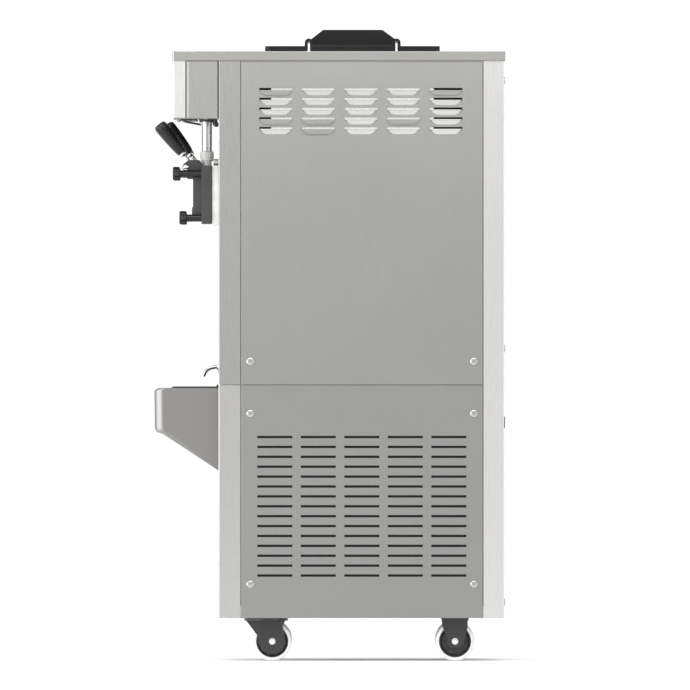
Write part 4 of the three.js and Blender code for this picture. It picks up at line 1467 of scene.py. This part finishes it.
# ---------- inner works ----------
class SOFTSERVE_OT_works(bpy.types.Operator):
    """Freezing cylinders, beaters, gear motors, compressor, condenser and its fan"""

    bl_idname = "softserve.works"
    bl_label = "Inner Works"

    def execute(self, context):
        for side, _ in SIDES:
            refined_piece(f"freezing_cylinder_{side}", "panel_steel", "brushed_stainless", 0.6 * MM)
            refined_piece(f"beater_{side}", "polished", "polished_steel", 0.5 * MM)
            refined_piece(f"beater_motor_{side}", "motor", "motor_paint", 1.5 * MM, 3)
            self.motor_fins(side)
        self.compressor()
        self.condenser()
        refined_piece("condenser_fan", "fins", "fan_metal", 0.3 * MM)
        return {"FINISHED"}

    def motor_fins(self, side):
        """Cooling fins round the gear motor's body."""
        low, high = corners(f"beater_motor_{side}")
        x, z = (low.x + high.x) / 2, high.z - 52 * MM
        fin = box_mesh("fin", (-2 * MM, -1.2 * MM, -52 * MM), (6 * MM, 1.2 * MM, 52 * MM), 0.4 * MM, 1)
        centre, turn = (x, high.y - 68 * MM, z), (math.pi / 2, 0, 0)
        fins = ring_mesh("fins", fin, "motor", 30, 50 * MM, turn, centre)
        placed(f"motor_fins_{side}", fins, "motor", "cabinet", "motor_paint")

    def compressor(self):
        """A welded hermetic can on a footed plate, with a band seam and a terminal cover."""
        low, high = corners("compressor")
        centre = (low + high) / 2
        floor = low.z
        span = high.z - low.z
        profile = [(0, 12), (62, 12), (74, 18), (82, 32), (85, 52), (85, 88), (87, 90), (87, 97), (85, 99)]
        profile += [(85, 160), (80, 182), (68, 199), (50, 209), (26, 214), (0, span / MM)]
        profile = [(r * MM, floor + along * MM) for r, along in profile]
        can = lathe("can", profile, (centre.x, centre.y, 0), "Z", 64)
        outline = rounded_outline((low.x, low.y + 15 * MM), (high.x, high.y - 15 * MM), 16 * MM)
        plate = prism("plate", outline, (floor, floor + 4 * MM), "Z", MM, 2)
        feet = []
        for x in (low.x + 18 * MM, high.x - 18 * MM):
            for y in (low.y + 34 * MM, high.y - 34 * MM):
                foot = mm((0, 0), (11, 0), (12, 3), (9, 9), (11, 15), (0, 18))
                feet.append(lathe("foot", foot, (x, y, floor + 0.5 * MM), "Z", 24))
        box_low = (centre.x - 105 * MM, centre.y - 26 * MM, floor + 95 * MM)
        box_high = (centre.x - 78 * MM, centre.y + 26 * MM, floor + 150 * MM)
        box = box_mesh("box", box_low, box_high, 3 * MM, 3)
        node = "compressor"
        mesh = joined(node, [can, plate, box, *feet])
        placed(node + "_finished", mesh, "compressor", "cabinet", "compressor_paint", node)

    def condenser(self):
        """The condenser's frame and fan motor, its stack of fins and the copper bends at both ends."""
        refined_piece("condenser", "zinc", "zinc_steel", 0.8 * MM)
        low, high = corners("condenser")
        front = low.y
        thin = 0.35 * MM
        fin_low = (-thin, front - 2.5 * MM, low.z + 6 * MM)
        fin_high = (thin, front + 0.5 * MM, high.z - 6 * MM)
        fin = box_mesh("fin", fin_low, fin_high, 0)
        count, pitch = 73, 4 * MM
        start = (-(count - 1) / 2 * pitch, 0, 0)
        stack = row_mesh("fins", fin, "fins", count, start, (pitch, 0, 0))
        placed("condenser_fins", stack, "fins", "cabinet", "condenser_fins")
        bends = []
        for sign in (1, -1):
            for i in range(6):
                z = low.z + (30 + 48 * i) * MM
                path = [(sign * 148 * MM, front + 22 * MM, z)]
                for angle in range(-90, 91, 20):
                    turn = math.radians(angle)
                    reach = 152 + 10 * math.cos(turn)
                    path.append((sign * reach * MM, front + 22 * MM, z + (12 + 12 * math.sin(turn)) * MM))
                path.append((sign * 148 * MM, front + 22 * MM, z + 24 * MM))
                bends.append(self.bend(path))
        placed("condenser_bends", joined("condenser_bends", bends), "copper", "cabinet", "zinc_steel")

    def bend(self, path):
        """A return bend, swept in its own upright plane."""
        turned = [(y, x, z) for x, y, z in path]
        mesh = tube_mesh("bend", turned, 4 * MM, 16)
        mesh.transform(Matrix(((0, 1, 0, 0), (1, 0, 0, 0), (0, 0, 1, 0), (0, 0, 0, 1))))
        mesh.flip_normals()
        return mesh


# ---------- casters ----------
class SOFTSERVE_OT_casters(bpy.types.Operator):
    """Grey tyres on black hubs, axle bolts, swivel forks and fixed brackets"""

    bl_idname = "softserve.casters"
    bl_label = "Casters"

    def execute(self, context):
        for side, _ in SIDES:
            refined_piece(f"front_caster_fork_{side}", "powder", "caster_black", 0.8 * MM, 3)
            refined_piece(f"rear_caster_bracket_{side}", "powder", "caster_black", 0.8 * MM, 3)
            self.wheel(f"front_caster_wheel_{side}")
            self.wheel(f"rear_caster_wheel_{side}")
            self.bolt(f"front_caster_wheel_{side}", f"front_caster_fork_{side}")
            self.bolt(f"rear_caster_wheel_{side}", "cabinet")
        return {"FINISHED"}

    def wheel(self, node):
        """A tyre with moulded grooves on a dished black hub with ribs."""
        low, high = corners(node)
        centre = (low + high) / 2
        radius, half = (high.z - low.z) / 2, (high.x - low.x) / 2
        rim = radius - 7 * MM
        groove = radius - 0.7 * MM
        profile = [(rim, -half), (rim + 2 * MM, -half), (radius - 3.4 * MM, -half + 0.5 * MM)]
        profile += [(radius - 1.2 * MM, -half + 2.2 * MM), (radius - 0.2 * MM, -half + 5 * MM)]
        profile += [(radius, -half + 8 * MM), (radius, -2.4 * MM)]
        profile += [(groove, -2 * MM), (groove, -1.2 * MM), (radius, -0.8 * MM)]
        profile = mirrored(profile)
        placed(node + "_tyre", lathe("tyre", profile, centre, "X", 96), "tyre", node, "grey_tyre", node)
        side = -half / MM
        face = [(4.3, side), (9.5, side), (10.3, side + 0.8), (10.8, side + 3.4)]
        face += [(27, side + 3.6), (29, side + 1.4), (30, side + 0.5), (32.95, side + 0.5)]
        hub = lathe("hub", mm(*mirrored(face)), centre, "X", 96)
        spoke_low = (-8.4 * MM, -1.1 * MM, -half + 1.4 * MM)
        spoke_high = (8.6 * MM, 1.1 * MM, half - 1.4 * MM)
        spoke = box_mesh("rib", spoke_low, spoke_high, 0.5 * MM, 1)
        ribs = ring_mesh("ribs", spoke, "hub", 8, 19 * MM, (0, math.pi / 2, 0), centre)
        placed(node + "_hub", joined("hub", [hub, ribs]), "hub", node, "caster_black")

    def bolt(self, wheel, body):
        """A bright axle bolt: hex head outside, lock nut inside."""
        low, high = corners(wheel)
        centre = (low + high) / 2
        outer = 1 if centre.x > 0 else -1
        parts = []
        for sign, across, depth in ((outer, 5.6 * MM, 4 * MM), (-outer, 6.6 * MM, 5.5 * MM)):
            start = 19 * MM
            washer = [(0, start), (6.6 * MM, start), (6.6 * MM, start + 1.1 * MM), (0, start + 1.1 * MM)]
            head = [(0, start + MM), (across, start + MM), (across, start + depth - 0.6 * MM)]
            head += [(across - 0.7 * MM, start + depth), (0, start + depth)]
            for profile, sides in ((washer, 40), (head, 6)):
                turned = [(r, sign * along) for r, along in profile]
                parts.append(lathe("bolt", turned, centre, "X", sides))
        placed(wheel + "_bolt", joined("bolt", parts), "polished", body, "zinc_steel")


# ---------- stage ----------
class SOFTSERVE_OT_stage(bpy.types.Operator):
    """Pale floor, soft studio light and the camera"""

    bl_idname = "softserve.stage"
    bl_label = "Stage"

    camera_distance = 60.0
    frame_width = 1.4145
    aim_y, aim_z = 0.0313, 0.6478

    def execute(self, context):
        scene = context.scene
        scene.view_settings.view_transform = "Standard"
        scene.view_settings.look = "None"
        self.floor()
        self.world(scene)
        self.light("Overhead", (1.4, 0.05, 2.0), (0.26, 0.05, 1.15), (2.4, 0.7), 24)
        self.light("Front Softbox", (2.6, -2.7, 1.1), (0.26, -0.3, 0.8), (2.2, 2.2), 42)
        self.light("Front Fill", (0.7, -3.3, 0.9), (0.1, -0.3, 0.8), (2.4, 2.2), 42)
        self.light("Rear Softbox", (2.4, 3.1, 1.0), (0.26, 0.3, 0.7), (0.6, 2.0), 12)
        self.light("Far Fill", (-2.6, -1.8, 2.4), (-0.2, 0, 0.8), (1.8, 1.8), 20)
        self.camera(scene)
        return {"FINISHED"}

    def floor(self):
        size = 7
        bm = bmesh.new()
        bmesh.ops.create_grid(bm, x_segments=1, y_segments=1, size=size)
        mesh = bpy.data.meshes.new("floor")
        bm.to_mesh(mesh)
        bm.free()
        paper = Paint("Pale Floor", (1.0, 1.0, 1.0), 0.0, 0.85)
        paper.vary_roughness(paper.noise(3), 0.8, 0.9)
        floor = new_piece("floor", mesh, paper.material)

    def world(self, scene):
        world = bpy.data.worlds.new("Studio")
        world.use_nodes = True
        background = world.node_tree.nodes["Background"]
        background.inputs["Color"].default_value = (1, 1, 1, 1)
        background.inputs["Strength"].default_value = 1.05
        scene.world = world

    def light(self, name, place, target, size, power):
        data = bpy.data.lights.new(name, "AREA")
        data.shape = "RECTANGLE"
        data.size, data.size_y = size
        data.energy = power
        lamp = bpy.data.objects.new(name, data)
        bpy.context.scene.collection.objects.link(lamp)
        lamp.location = place
        lamp.rotation_euler = (Vector(target) - Vector(place)).to_track_quat("-Z", "Y").to_euler()
        lamp.visible_camera = False

    def camera(self, scene):
        data = bpy.data.cameras.new("Camera")
        data.sensor_width = 36
        data.lens = data.sensor_width * self.camera_distance / self.frame_width
        data.clip_start, data.clip_end = 1, 200
        camera = bpy.data.objects.new("Camera", data)
        scene.collection.objects.link(camera)
        camera.location = (HALF + self.camera_distance, self.aim_y, self.aim_z)
        camera.rotation_euler = (math.pi / 2, 0, math.pi / 2)
        scene.camera = camera


# ---------- sidebar ----------
STEPS = (
    "stage",
    "covers",
    "louvres",
    "screws",
    "head",
    "hoppers",
    "dispenser",
    "levers",
    "drip_tray",
    "works",
    "casters",
)


class SOFTSERVE_PT_sidebar(bpy.types.Panel):
    """Lists the sizes and colours, and one button for each group of pieces"""

    bl_idname = "SOFTSERVE_PT_sidebar"
    bl_label = "Soft Serve Machine"
    bl_space_type = "VIEW_3D"
    bl_region_type = "UI"
    bl_category = "Soft Serve"

    def draw(self, context):
        for key in SETTINGS:
            group = getattr(context.scene, f"softserve_{key}")
            box = self.layout.box()
            for name in group.bl_rna.properties.keys():
                if name not in ("rna_type", "name"):
                    box.prop(group, name)
        for step in STEPS:
            self.layout.operator(f"softserve.{step}")


SETTINGS = {
    "sheet": SheetMetalSettings,
    "louvre": LouvreSettings,
    "screw": ScrewSettings,
    "dispenser": DispenserSettings,
    "grip": GripSettings,
    "caster": CasterSettings,
}

OPERATORS = (
    SOFTSERVE_OT_stage,
    SOFTSERVE_OT_covers,
    SOFTSERVE_OT_louvres,
    SOFTSERVE_OT_screws,
    SOFTSERVE_OT_head,
    SOFTSERVE_OT_hoppers,
    SOFTSERVE_OT_dispenser,
    SOFTSERVE_OT_levers,
    SOFTSERVE_OT_drip_tray,
    SOFTSERVE_OT_works,
    SOFTSERVE_OT_casters,
)


def register():
    for group in SETTINGS.values():
        bpy.utils.register_class(group)
    for key, group in SETTINGS.items():
        setattr(bpy.types.Scene, f"softserve_{key}", bpy.props.PointerProperty(type=group))
    for operator in OPERATORS:
        bpy.utils.register_class(operator)
    bpy.utils.register_class(SOFTSERVE_PT_sidebar)


def unregister():
    bpy.utils.unregister_class(SOFTSERVE_PT_sidebar)
    for operator in reversed(OPERATORS):
        bpy.utils.unregister_class(operator)
    for key, group in SETTINGS.items():
        delattr(bpy.types.Scene, f"softserve_{key}")
        bpy.utils.unregister_class(group)


def main():
    register()
    for step in STEPS:
        getattr(bpy.ops.softserve, step)()


if __name__ == "__main__":
    main()
